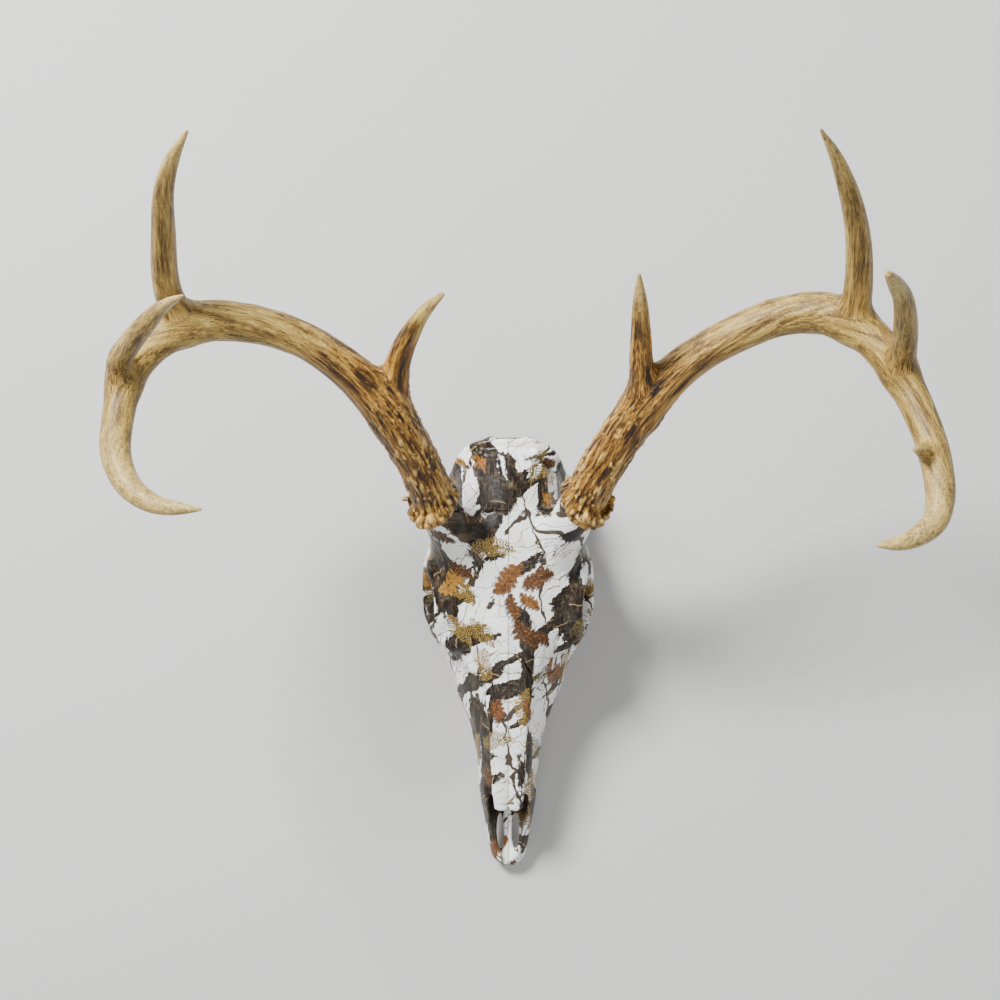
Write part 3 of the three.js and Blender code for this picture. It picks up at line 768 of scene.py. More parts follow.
SIDE_HOLLOWS = {
    "tear pit": Lump((44, 147, 64), (6, 9, 7)),
    "face gap": Lump((25.5, 137, 75), (3.4, 13, 8)),
    "brow hole": Lump((27, 195, 97), (2.3, 3.4, 8)),
    "cheek hole": Lump((28, 90, 33), (7, 4.5, 3.4)),
    "ear hole": Lump((41, 247, 38), (9, 3.6, 3.6)),
    "palate slot": Lump((5.2, 24, 8), (2.2, 12, 14)),
    "nasal notch": Lump((12.3, 51.5, 46), (2.7, 6.5, 9.5)),
}
NECK_HOLE = Lump((0, 284, 38), (10.5, 22, 9.5))
SOCKET_BOWL = Lump(SOCKET, (27, 19.4, 19.4))

# Forms of the right half in the order that they are joined or carved, each with its blend
FIRST_JOINED = (
    *((form, 5) for form in (SNOUT, CORE, BRAINCASE, BROW, SKULL_BASE, CHEEK_ARCH, SOCKET_BAR, SOCKET_RIM)),
    (NAPE_CREST, 6), (PEDICLE, 9), (TEMPLE_LINE, 3),
    *((form, 5) for form in SIDE_FORMS.values()),
)
CARVED = (
    (NASAL_CAVITY, 1.5), (THROAT_PASSAGE, 3), (SOCKET_BOWL, 3), (NECK_HOLE, 3), (BROW_GROOVE, 2),
    (NAPE_FURROW, 2.5), *((form, 2) for form in SIDE_HOLLOWS.values()),
)
LAST_JOINED = ((NASAL_PLATE, 1.6), (EAR_PROCESS, 4), (WING_PLATE, 3))
HALF_BOX = ((-3, -2.5), (66, 292, 134))  # low back and up, then high out, back and up
PEDICLE_REACH = 40  # how far from the burr the pedicle is cut level under it
NASAL_END = 146  # back end of the nasal bones
NASAL_WIDTH = np.array([(43, 9), (56, 11), (84, 12.4), (106, 13.8), (124, 15.8), (138, 11), (148, 3)]).T

# Sutures: how far back they lie, and how much farther between two heights
SUTURE_WAVE = 0.9
FACE_END = 133
FACE_STEPS = ((14, 50, 58), (30, 28, 33))
WEDGE_DEPTH = 14
WEDGE_HALF = 12
WEDGE_RISE = (58, 62)
BROW_END = 206
BROW_STEP = 33
BROW_RISE = (52, 64)

# How the print wraps: half width of the flat roof, span where the nape starts and its top, and
# the share of a drop that the print follows
ROOF_HALF = 9
SIDE_SHARE = 0.85
NAPE_SPAN = (262, 284)
NAPE_TOP = 72
NAPE_SHARE = 0.8

# Height of the skull's roof along its length, for unrolling the print
ROOF = np.array([
    (0, 11), (27, 29), (50, 47), (86, 60), (120, 70), (150, 81), (189, 94), (226, 102),
    (242, 98), (256, 91), (267, 82), (276, 73), (290, 62),
], float)


def both_sides(*bones: str) -> tuple[str, ...]:
    """Node names of the left and the right of each bone."""
    return tuple(f"{bone}_{side.name.lower()}" for bone in bones for side in Side)


@dataclass(frozen=True)
class Skull:
    """The bones, grown as one surface and parted into three at real sutures.

    Attributes:
        anchor: Where the skull's frame sits.
        step: Distance between the points of the grid, in millimetres.
    """

    anchor: Anchor
    step: float = 0.9

    def grown(self) -> Space:
        """Joins and carves the right half, then mirrors it on to the left."""
        half = Space(np.array([self.step / 2, *HALF_BOX[0]]), np.array(HALF_BOX[1]), self.step)
        for form, blend in FIRST_JOINED:
            half.join(form, blend)
        for form, blend in CARVED:
            half.carve(form, blend)
        for form, blend in LAST_JOINED:
            half.join(form, blend)
        x, y, z = half.everywhere()
        half.field = np.maximum(half.field, -z).astype(np.float32)
        above = RIGHT_ANTLER.above_foot(x, y, z)
        near = sum((v - f) ** 2 for v, f in zip((x, y, z), RIGHT_ANTLER.foot)) < PEDICLE_REACH**2
        half.field = np.where(near, np.maximum(half.field, above + SEAM), half.field)
        half.field = np.concatenate([half.field[::-1], half.field]).astype(np.float32)
        half.low[0] -= half.field.shape[0] / 2 * self.step
        return half

    def film(self, points: Array) -> Array:
        """Place on the unrolled print: down the sides it goes on by the drop from the roof."""
        x, y, z = points.T
        drop = np.interp(y, ROOF[:, 0], ROOF[:, 1]) - z
        across = x + np.clip(x / ROOF_HALF, -1, 1) * drop * SIDE_SHARE
        along = y + ease(y, *NAPE_SPAN) * (NAPE_TOP - z) * NAPE_SHARE
        return np.stack([across, along], axis=1) * MM

    def build(self) -> list[bpy.types.Object]:
        """Meshes the face, the brow and the braincase.

        The face ends at the suture behind the nasal and jaw bones, and the braincase starts at
        the one behind the brow, both wavy.

        Returns:
            The three pieces.
        """
        space = self.grown()
        x, y, z = space.everywhere()
        wave = SUTURE_WAVE * np.sin(x * 0.9) * np.cos(z * 0.8)
        wedge = WEDGE_DEPTH * np.exp(-((x / WEDGE_HALF) ** 4)) * ease(z, *WEDGE_RISE)
        steps = sum(far * (1 - ease(z, low, high)) for far, low, high in FACE_STEPS)
        face_end = FACE_END + wedge + steps + wave
        brow_end = BROW_END + BROW_STEP * ease(z, *BROW_RISE) + wave
        cuts = {
            "face": (y - face_end, both_sides("nasal", "premaxilla", "maxilla")),
            "brow": (
                np.maximum(face_end - y, y - brow_end), (*both_sides("frontal", "cheekbone"), "sphenoid"),
            ),
            "braincase": (brow_end - y, ("parietal", "occipital", *both_sides("temporal"))),
        }
        pieces = []
        for name, (cut, nodes) in cuts.items():
            points, faces = main_shell(*space.skin(space.keep(cut)))
            points = relaxed(points, faces)
            lumps = 0.35 * wave_noise(points / 11, Seed.LUMPS)
            lumps += 0.14 * wave_noise(points / 3.7, Seed.FINE_LUMPS)
            points = points + lumps[:, None] * normals_of(points, faces)
            points[:, 2] = np.maximum(points[:, 2], 0)
            edge = np.abs(points[:, 0]) - np.interp(points[:, 1], *NASAL_WIDTH)
            marks = {"nasal_edge": np.where(points[:, 1] < NASAL_END, edge, FAR)}
            film = self.film(points)
            pieces.append(mesh_piece(name, points, faces, self.anchor, nodes, marks, film))
        return pieces


SEAM = 0.3  # gap between the pedicle and the burr

# Where each limb starts along the beam, in millimetres, and how rough it is next to the beam
LIMB_STARTS = {
    "beam": (0.0, 1.0), "brow": (70.0, 0.9), "second": (215.0, 0.42), "third": (275.0, 0.36),
    "kicker": (320.0, 0.2),
}

# Cells of the antlers' noises, round the limb and along it, in millimetres
GROOVE_CELL = (3.2, 34.0)
DRIFT_CELL = (6.0, 9.0)
PEARL_CELL = (2.5, 6.2)
GRAIN_RUN = 13.0

# Shifts that keep the noises of one limb off those of the next
GROOVE_SHIFT = 17.0
GRAIN_SHIFT = 40.0

# Blends between an antler's limbs, the ring under the burr and its beads
LIMB_BLENDS = {"beam": 9, "brow": 9, "second": 9, "third": 9, "kicker": 4}
RING_BLEND = 3
BEAD_BLEND = 1.6

RING_RISE = 3  # height of the ring over the burr's underside
LUCK_SEED = 5  # picks the burr's random numbers, one more or one less by the side
ANTLER_MARGIN = 6.0  # empty space round an antler on its grid
LIMB_MIX = 1.6  # distance over which one limb's relief gives way to the next one's
OUTER_SINK = 0.35  # how far the worn outer part of the antler lies under its full size


@dataclass(frozen=True)
class Trace:
    """Where each point of a skin lies beside one limb.

    Attributes:
        run: Distance along the limb.
        share: The run as a share of the limb's length.
        beyond: Distance past either end of the limb.
        gap: Height over the limb's round surface.
        along: Way that the limb runs there.
        around: Offset from the middle of the limb to its round surface.
    """

    run: Array
    share: Array
    beyond: Array
    gap: Array
    along: Array
    around: Array

    def pattern(self, across: float, lengthwise: float) -> Array:
        """Places for reading a noise whose cells have these sizes round and along the limb."""
        return self.around / across + self.along * (self.run / lengthwise)[:, None]


def traced(points: Array, path: Array) -> Trace:
    """Finds every point's place beside a limb, from the nearest sample of its middle line.

    Args:
        points: Points of the skin.
        path: Rows of x, y, z, wide and tall along the limb.

    Returns:
        The places.
    """
    along = np.gradient(path[:, :3], axis=0)
    along /= np.linalg.norm(along, axis=1)[:, None]
    steps = np.linalg.norm(np.diff(path[:, :3], axis=0), axis=1)
    travelled = np.concatenate([[0], np.cumsum(steps)])
    blocks = np.array_split(points, max(1, len(points) // TRACE_BLOCK))
    nearest = np.concatenate([
        np.argmin(((block[:, None, :] - path[None, :, :3]) ** 2).sum(2), axis=1) for block in blocks
    ])
    off = points - path[nearest, :3]
    ahead = (off * along[nearest]).sum(1)
    out = off - ahead[:, None] * along[nearest]
    run = travelled[nearest] + ahead
    reach = np.linalg.norm(out, axis=1)
    radius = path[nearest, 3]
    return Trace(
        run=run,
        share=run / travelled[-1],
        beyond=np.maximum(np.maximum(-run, run - travelled[-1]), 0),
        gap=reach - radius,
        along=along[nearest],
        around=out / np.maximum(reach, TINY)[:, None] * radius[:, None],
    )


@dataclass(frozen=True)
class Antler:
    """One antler: beam, tines and burr as one surface.

    Attributes:
        side: Which side it grows on.
        foot: Middle of the burr's underside: out, back, up.
        beam: Rows of out, back, up and radius from under the burr to the tip.
        tines: The same for each tine, by name.
        nodes: CAD nodes that the antler replaces, without their common start.
        tilt: Way that the burr faces: out, back, up.
        burr_radius: Radius of the ring of beads.
        burr_rows: Count of beads, share of the radius, height and size of each row of beads.
        step: Distance between the points of the grid.
    """

    side: Side
    foot: Place
    beam: tuple[Row, ...]
    tines: dict[str, tuple[Row, ...]]
    nodes: tuple[str, ...] = (
        "base", "lower_beam", "outer_beam", "beam_tip", "brow_tine", "second_tine", "third_tine",
    )
    tilt: Place = (0.52, 0.43, 0.74)
    burr_radius: float = 16.3
    burr_rows: tuple[Row, ...] = (
        (29, 1.0, 2.0, 2.2), (25, 0.99, 4.8, 2.0), (23, 0.94, 8.0, 1.8), (19, 0.88, 11.5, 1.5),
    )
    step: float = 0.9

    def facing(self) -> Array:
        """Way that the burr faces."""
        return np.array(self.tilt) / np.linalg.norm(self.tilt) * (self.side.value, 1, 1)

    def root(self) -> Array:
        """Middle of the burr's underside on this side."""
        return np.array(self.foot) * (self.side.value, 1, 1)

    def above_foot(self, x: Array, y: Array, z: Array) -> Array:
        """Height over the burr's underside, along the way that the burr faces."""
        return sum((v - f) * n for v, f, n in zip((x, y, z), self.root(), self.facing()))

    def limb(self, rows: tuple[Row, ...]) -> Limb:
        """Round limb from stations on this side."""
        return horn(*[(self.side.value * out, back, up, r) for out, back, up, r in rows])

    def burr_beads(self) -> list[Lump]:
        """Beads of bone round the foot of the beam, in rows, bigger in the lowest."""
        facing = self.facing()
        across = np.cross(facing, (0, 0, 1))
        across /= np.linalg.norm(across)
        lift = np.cross(across, facing)
        beads = []
        for row, (count, radius, rise, size) in enumerate(self.burr_rows):
            cells = np.stack([np.arange(count), np.full(count, row), np.full(count, 7)], axis=1)
            luck = hash_noise(cells, self.side.value + LUCK_SEED)
            for k in range(count):
                angle = 2 * np.pi * (k + 0.6 * luck[k]) / count
                reach = self.burr_radius * (radius + 0.14 * (luck[(k + 3) % count] - 0.5))
                spot = self.root() + reach * (np.cos(angle) * across + np.sin(angle) * lift)
                spot = spot + facing * (rise + 2.6 * (luck[(k + 5) % count] - 0.5))
                half = size * (0.5 + luck[(k + 1) % count])
                beads.append(Lump(tuple(spot), (half, half, half)))
        return beads

    def grown(self) -> Space:
        """Joins beam, tines and burr on a grid of their own, cut level under the burr."""
        limbs = {"beam": self.limb(self.beam)}
        limbs.update({name: self.limb(rows) for name, rows in self.tines.items()})
        corners = [limb.reach() for limb in limbs.values()]
        low = np.min([c[0] for c in corners], axis=0) - ANTLER_MARGIN
        high = np.max([c[1] for c in corners], axis=0) + ANTLER_MARGIN
        space = Space(low, high, self.step)
        for name, limb in limbs.items():
            space.join(limb, LIMB_BLENDS[name])
        middle = self.root() + RING_RISE * self.facing()
        ring = Hoop(tuple(middle), tuple(self.facing()), radius=13.3, thick=2.6, wide=3.8)
        space.join(ring, RING_BLEND)
        for bead in self.burr_beads():
            space.join(bead, BEAD_BLEND)
        above = self.above_foot(*space.everywhere())
        space.field = np.maximum(space.field, -above).astype(np.float32)
        return space

    def relief(self, points: Array) -> tuple[Array, dict[str, Array]]:
        """Grooves, beads and the numbers that the finish reads, from each point's place.

        On each limb a point has a run along it and a direction round it. Noise stretched ten
        times along the run gives the grooves and long beads the pearling, both strongest at
        the burr. Where limbs meet, theirs are mixed by how near each one's surface is. The
        grain is the place round the limb with the run shortened thirteen times, so that a pattern
        read from it comes out drawn along the limb.

        Args:
            points: Points of the skin.

        Returns:
            Height to raise each point by, and the marks for the finish.
        """
        limbs = {"beam": self.beam} | self.tines
        raises, nears, grains = [], [], []
        marks = {name: [] for name in ("groove", "pearl", "run", "tip", "dark")}
        for number, (name, rows) in enumerate(limbs.items()):
            start, rough = LIMB_STARTS[name]
            trace = traced(points, self.limb(rows).samples())
            total = start + trace.run
            where = trace.pattern(*GROOVE_CELL) + GROOVE_SHIFT * number
            groove = 0.6 * wave_noise(where, Seed.GROOVE)
            groove += 0.4 * wave_noise(where * 2.1, Seed.FINE_GROOVE)
            drift = wave_noise(trace.pattern(*DRIFT_CELL), Seed.DRIFT)
            bead = bead_noise(trace.pattern(*PEARL_CELL) + 0.5 * drift[:, None], Seed.PEARL)
            pearl = ease(0.66 - bead, 0, 0.5) * ease(drift + 0.75, 0, 0.7)
            fade = 0.95 - 0.8 * ease(total, 90, 330)
            deep = rough * fade * (1 - 0.85 * ease(trace.share, 0.45, 1))
            beaded = rough * (1 - ease(total, 50, 150))
            sunk = OUTER_SINK * ease(total, 180, 260)
            raises.append(deep * (groove - 0.25) + 0.95 * beaded * pearl - sunk)
            nears.append(np.exp(-np.clip(trace.gap + trace.beyond, -4, FAR) / LIMB_MIX))
            grains.append(trace.around + trace.along * (total / GRAIN_RUN)[:, None] + GRAIN_SHIFT * number)
            collar = ease(trace.gap, 0.8, 3) * (1 - ease(trace.run, 15, 22)) * (name == "beam")
            marks["groove"].append(groove)
            marks["pearl"].append(np.maximum(pearl * beaded, 0.62 * collar * ease(drift, -0.7, 0.7)))
            marks["run"].append(np.clip(total, 0, 460) / 400)
            marks["tip"].append(ease(trace.share, 0.72, 1.0))
            marks["dark"].append(rough * (1 - ease(trace.share, 0.1, 0.75)) * (name != "beam"))
        weight = np.array(nears)
        weight /= weight.sum(0)
        mixed = {name: (weight * np.array(rows)).sum(0) for name, rows in marks.items()}
        mixed["grain"] = np.array(grains)[weight.argmax(0), np.arange(len(points))]
        return (weight * np.array(raises)).sum(0), mixed

    def build(self, anchor: Anchor) -> bpy.types.Object:
        """Meshes the antler.

        Args:
            anchor: Where the skull's frame sits.

        Returns:
            The antler.
        """
        space = self.grown()
        points, faces = main_shell(*space.skin(space.field))
        points = relaxed(points, faces)
        height, marks = self.relief(points)
        height = height * ease(self.above_foot(*points.T), 0.3, 4)
        points = points + height[:, None] * normals_of(points, faces)
        word = self.side.name.lower()
        nodes = tuple(f"antler_{word}_{node}" for node in self.nodes)
        return mesh_piece(f"antler_{word}", points, faces, anchor, nodes, marks)


LEFT_ANTLER = Antler(
    side=Side.LEFT,
    foot=(45.6, 243.2, 119.2),
    beam=(
        (44.4, 239.9, 114.6, 13.4), (50, 256, 136, 13.2), (60, 277, 157, 13.3), (73.5, 300, 177, 13.8),
        (94, 322, 192, 12), (124, 341, 206, 10.8), (155, 349.5, 213, 11.8), (182, 349, 219, 12.8),
        (203, 339, 226, 11.8), (219, 317, 236, 10.6), (223.5, 293, 246, 9.7), (222, 268, 259, 9),
        (212.5, 252, 268, 7.6), (197, 243, 275, 5.8), (183, 240.8, 278, 3.8), (172.5, 240.5, 279.5, 1.6),
    ),
    tines={
        "brow": (
            (73, 296, 168, 9.5), (68.5, 312, 178, 8.2), (66.2, 326, 190, 7.5), (57.5, 344, 212, 5.9),
            (52.4, 351, 223, 4.8), (46, 357.6, 233, 3.6), (38.6, 363.5, 241, 1.8),
        ),
        "second": (
            (190, 347, 218, 9.5), (195.5, 364, 239, 8.6), (193.5, 395, 275, 7.4), (189, 417, 303, 6),
            (181.5, 431, 322, 4.3), (172, 442, 338, 1.5),
        ),
        "third": (
            (222, 312, 237, 8.5), (222, 324, 252, 7.7), (214.5, 332, 268, 7.1), (203.5, 340.3, 290, 6.5),
            (192.4, 348, 309, 4.9), (182.7, 352.2, 326, 3.1), (174.2, 354.2, 339.6, 1.4),
        ),
    },
)
RIGHT_ANTLER = Antler(
    side=Side.RIGHT,
    foot=(46.4, 243.2, 119.2),
    beam=(
        (45, 239.9, 114.6, 13.4), (52, 256, 136, 13.4), (63, 276, 155, 13.3), (79, 300, 174, 13.4),
        (104, 326, 192, 11.6), (137, 345, 205, 11.2), (163, 354, 212, 11.8), (186, 354, 218, 12.8),
        (206, 343, 226, 12), (224.5, 318, 236, 10.9), (235, 294, 246, 9.9), (242, 264, 259, 9.4),
        (242, 245, 267, 8.7), (238.5, 234, 271, 7.8), (228.2, 225.5, 275, 6.4), (216.4, 221.5, 278.5, 4.6),
        (205, 220.5, 281, 1.8),
    ),
    tines={
        "brow": (
            (81, 299, 168, 9.5), (79, 319, 192, 7.8), (77, 341, 216, 6.2), (75.3, 360, 234, 4.4),
            (74, 374, 246, 1.5),
        ),
        "second": (
            (200, 347, 219, 9.5), (200, 366, 240, 8.8), (194, 397, 276, 7.4), (183, 420, 306, 5.6),
            (174, 433.5, 323.5, 3.6), (165.5, 443, 337, 1.4),
        ),
        "third": (
            (225, 318, 235, 8.5), (224, 332, 253, 8.1), (220.5, 345, 280, 7.2), (214, 357, 307, 6),
            (207, 362.5, 325, 4.8), (201.5, 366, 337, 2.8),
        ),
        "kicker": (
            (236.5, 272, 260, 5.6), (231, 273, 270, 4), (226, 274, 277.5, 2),
        ),
    },
)


def closed_rings(rings: Array) -> tuple[Array, Array]:
    """Skin over a stack of rings, closed by a point in the middle of the first and last.

    Args:
        rings: Points, by ring and by place round it.

    Returns:
        Points, and faces of three points.
    """
    rows, count = rings.shape[:2]
    points = np.concatenate([rings.reshape(-1, 3), [rings[0].mean(0)], [rings[-1].mean(0)]])
    j = np.arange(count)
    k = (j + 1) % count
    base = (np.arange(rows - 1) * count)[:, None]
    lower, upper = (base + j), (base + k)
    sides = [
        np.stack([lower, lower + count, upper + count], -1), np.stack([lower, upper + count, upper], -1),
    ]
    start, end = rows * count, (rows - 1) * count
    first = np.stack([np.full(count, start), j, k], 1)
    last = np.stack([np.full(count, start + 1), end + k, end + j], 1)
    return points, np.concatenate([s.reshape(-1, 3) for s in sides] + [first, last])


@dataclass(frozen=True)
class CheekTooth:
    """Grinding tooth of one or two lobes, each with two crescent ridges.

    Attributes:
        length: Length along the row.
        half: Half width.
        lobes: One in the front three teeth, two in the rear three.
        depth: Depth of the hollows.
        tall: Height from the chewing face to the root.
        around: Points round one ring.
        power: Power of the outline's superellipse.
    """

    length: float
    half: float
    lobes: int
    depth: float = 1.7
    tall: float = 17.0
    around: int = 56
    power: float = 2.8

    def surface(self, side: Side) -> tuple[Array, Array, Array]:
        """Chewing face and walls about the tooth's own middle.

        The outline is a superellipse pinched between the lobes. The chewing face rises from its
        ridges, two arcs to a lobe, by the square of the distance to the nearer one, and the walls
        bulge to the neck and draw in at the root.

        Args:
            side: Side of the jaw; the outer wall has the ribs.

        Returns:
            Points, faces of three points, and how deep in a hollow each point lies.
        """
        angle = np.linspace(0, 2 * np.pi, self.around, endpoint=False)
        bow = 2 / self.power
        x = self.half * np.sign(np.cos(angle)) * np.abs(np.cos(angle)) ** bow
        y = self.length / 2 * np.sign(np.sin(angle)) * np.abs(np.sin(angle)) ** bow
        middle = np.exp(-((y / (0.13 * self.length)) ** 2)) * (self.lobes == 2)
        ribs = np.cos(2 * np.pi * self.lobes * y / self.length) ** 4 * (x * side.value > 0)
        x = x * (1 - 0.16 * middle + 0.07 * ribs)
        rings, hollows = [], []
        for share in np.linspace(0.06, 1, 12):
            u, v = x * share * 0.86, y * share * 0.95
            local = (v / self.length + 0.5) * self.lobes % 1 * 2 - 1
            outer = side.value * self.half * (0.62 - 0.22 * (1 - local**2))
            inner = -side.value * self.half * (0.12 + 0.55 * (1 - local**2))
            gap = np.minimum(np.abs(u - outer), np.abs(u - inner)) / (0.42 * self.half)
            hollow = np.minimum(gap**2, 1)
            rings.append(np.stack([u, v, 0.15 + self.depth * hollow], axis=1))
            hollows.append(hollow)
        rim = rings[-1][:, 2]
        for drop in np.linspace(0.06, 1, 8):
            swell = 0.86 + 0.16 * np.sin(np.pi * min(drop * 1.3, 1) * 0.62) - 0.2 * max(drop - 0.7, 0)
            z = rim + (self.tall - rim) * drop
            rings.append(np.stack([x * swell, y * (swell + 0.09), z], axis=1))
            hollows.append(np.full(self.around, 0.35 + 0.5 * drop) - 0.35 * ribs)
        points, faces = closed_rings(np.array(rings))
        hollow = np.concatenate([*hollows, [1, 1]])
        return points, faces[:, ::-1] if self.flipped(points, faces) else faces, hollow

    @staticmethod
    def flipped(points: Array, faces: Array) -> bool:
        """Whether the faces look inwards, told by the sign of the volume that they close."""
        a, b, c = (points[faces[:, k]] for k in range(3))
        return float((a * np.cross(b, c)).sum()) < 0


@dataclass(frozen=True)
class ToothRow:
    """Six cheek teeth of one side, in a row that opens and bows towards the back.

    Attributes:
        side: Side of the jaw.
        start: How far back the row starts.
        out_start: How far out it starts.
        out_end: How far out it ends.
        bow: How far its middle bows out.
        teeth: The teeth from front to back.
    """

    side: Side
    start: float = 89.0
    out_start: float = 19.5
    out_end: float = 26.5
    bow: float = 1.6
    teeth: tuple[CheekTooth, ...] = (
        CheekTooth(9.5, 4, 1), CheekTooth(10, 5, 1), CheekTooth(10, 5.6, 1),
        CheekTooth(14, 6.2, 2), CheekTooth(16, 6.8, 2), CheekTooth(16, 6.6, 2),
    )

    def build(self, anchor: Anchor) -> bpy.types.Object:
        """Places the teeth one behind the other, each turned with the row.

        Args:
            anchor: Where the skull's frame sits.

        Returns:
            The row as one piece.
        """
        total = sum(tooth.length for tooth in self.teeth)
        points, faces, hollows = [], [], []
        front = count = 0
        for tooth in self.teeth:
            share = (front + tooth.length / 2) / total
            opening = self.out_end - self.out_start
            out = self.out_start + opening * share + self.bow * np.sin(np.pi * share)
            slope = (opening + self.bow * np.pi * np.cos(np.pi * share)) / total
            turn = -self.side.value * np.arctan(slope)
            spot, face, hollow = tooth.surface(self.side)
            x = spot[:, 0] * np.cos(turn) - spot[:, 1] * np.sin(turn)
            y = spot[:, 0] * np.sin(turn) + spot[:, 1] * np.cos(turn)
            middle = self.start + front + tooth.length / 2
            points.append(np.stack([x + self.side.value * out, y + middle, spot[:, 2]], axis=1))
            faces.append(face + count)
            hollows.append(hollow)
            count += len(spot)
            front += tooth.length
        word = self.side.name.lower()
        return mesh_piece(
            f"cheek_teeth_{word}", np.concatenate(points), np.concatenate(faces), anchor,
            (f"maxilla_{word}",), {"hollow": np.concatenate(hollows)},
        )


# Shader nodes

Socket = bpy.types.NodeSocket
Tree = bpy.types.NodeTree
Colour = tuple[float, float, float]
Ramp = tuple[tuple[float, Colour], ...]


class Graph:
    """Short hand for making and joining the nodes of one tree."""

    def __init__(self, tree: Tree) -> None:
        """Starts on a tree."""
        self.tree = tree

    def node(self, kind: str, feeds: dict | None = None, **settings: object) -> bpy.types.Node:
        """Adds a node.

        Args:
            kind: The node's type.
            feeds: What goes into its inputs, by name or number.
            settings: Its properties.

        Returns:
            The node.
        """
        made = self.tree.nodes.new(kind)
        for name, value in settings.items():
            setattr(made, name, value)
        for name, value in (feeds or {}).items():
            self.feed(made.inputs[name], value)
        return made

    def feed(self, socket: Socket, value: object) -> None:
        """Links a socket to another, or sets its number, vector or colour."""
        if isinstance(value, Socket):
            self.tree.links.new(value, socket)
        elif isinstance(value, tuple) and len(value) == 3 and socket.type == "RGBA":
            socket.default_value = (*value, 1)
        else:
            socket.default_value = value

    def math(self, operation: str, *values: object) -> Socket:
        """One Math node."""
        return self.node("ShaderNodeMath", dict(enumerate(values)), operation=operation).outputs[0]

    def vector(self, operation: str, *values: object) -> Socket:
        """One Vector Math node."""
        feeds = dict(enumerate(values))
        return self.node("ShaderNodeVectorMath", feeds, operation=operation).outputs[0]

    def plus(self, first: object, *others: object) -> Socket:
        """Sum of the values."""
        for other in others:
            first = self.math("ADD", first, other)
        return first

    def times(self, first: object, *others: object) -> Socket:
        """Product of the values."""
        for other in others:
            first = self.math("MULTIPLY", first, other)
        return first

    def minus(self, one: object, other: object) -> Socket:
        """Difference of two values."""
        return self.math("SUBTRACT", one, other)

    def swing(self, value: object, strength: object) -> Socket:
        """How far the value is from a half, times the strength."""
        return self.times(self.minus(value, 0.5), strength)

    def band(self, value: object, low: object, high: object) -> Socket:
        """S curve from nought at low to one at high."""
        feeds = {"Value": value, "From Min": low, "From Max": high}
        return self.node("ShaderNodeMapRange", feeds, interpolation_type="SMOOTHSTEP").outputs["Result"]

    def noise(self, vector: object, scale: float, detail: float = 3, rough: float = 0.55) -> Socket:
        """Noise of a scale, from about 0.2 to 0.8."""
        feeds = {"Vector": vector, "Scale": scale, "Detail": detail, "Roughness": rough}
        return self.node("ShaderNodeTexNoise", feeds).outputs["Fac"]

    def stretched(self, vector: object, scale: Place, turn: float = 0) -> Socket:
        """The vector scaled along its axes and turned in the plane of its first two."""
        feeds = {"Vector": vector, "Scale": scale, "Rotation": (0, 0, turn)}
        return self.node("ShaderNodeMapping", feeds).outputs["Vector"]

    def split(self, vector: Socket) -> bpy.types.Node:
        """The vector's three numbers."""
        return self.node("ShaderNodeSeparateXYZ", {0: vector})

    def shades(self, value: object, stops: Ramp) -> Socket:
        """Colour ramp through the stops."""
        made = self.node("ShaderNodeValToRGB", {"Fac": value})
        marks = made.color_ramp.elements
        while len(marks) < len(stops):
            marks.new(0.5)
        for mark, (place, colour) in zip(marks, stops):
            mark.position = place
            mark.color = (*colour, 1)
        return made.outputs["Color"]

    def over(self, mask: object, below: object, above: object, strength: float = 1) -> Socket:
        """Colour above laid over colour below where the mask is one, as strongly as given."""
        made = self.node("ShaderNodeMix", data_type="RGBA")
        colours = [s for s in made.inputs if s.type == "RGBA"]
        self.feed(made.inputs["Factor"], mask if strength == 1 else self.times(mask, strength))
        self.feed(colours[0], below)
        self.feed(colours[1], above)
        return next(s for s in made.outputs if s.type == "RGBA")

    def group(self, tree: Tree, **values: object) -> bpy.types.Node:
        """Places a node group and feeds its inputs by name."""
        return self.node("ShaderNodeGroup", values, node_tree=tree)

    def mark(self, name: str) -> Socket:
        """A number that the mesh carries at its points."""
        return self.node("ShaderNodeAttribute", attribute_name=name).outputs["Fac"]


def new_group(name: str, inputs: str, outputs: str) -> tuple[Graph, dict, dict]:
    """Starts a node group.

    Args:
        name: The group's name.
        inputs: Names of the inputs; Film is a vector and the rest are numbers.
        outputs: Names of the outputs; Colour is a colour and the rest are numbers.

    Returns:
        The graph, its input sockets and its output sockets, by name.
    """
    kinds = {"Film": "NodeSocketVector", "Colour": "NodeSocketColor"}
    tree = bpy.data.node_groups.new(name, "ShaderNodeTree")
    for way, labels in (("INPUT", inputs), ("OUTPUT", outputs)):
        for label in labels.split():
            kind = kinds.get(label, "NodeSocketFloat")
            tree.interface.new_socket(label, in_out=way, socket_type=kind)
    graph = Graph(tree)
    start = graph.node("NodeGroupInput")
    end = graph.node("NodeGroupOutput")
    return graph, {s.name: s for s in start.outputs if s.name}, {s.name: s for s in end.inputs if s.name}


# A leaf of the print: counts along its length, and sizes in metres

CELL_LOOSENESS = 0.8
LEAF_TEETH = 22.0
LEAFLETS = 19.0
LEAFLET_LEAN = 5.0
MIDRIB = 0.0005
MIDRIB_CORE = 0.0002
LEAF_EDGE = 0.0004


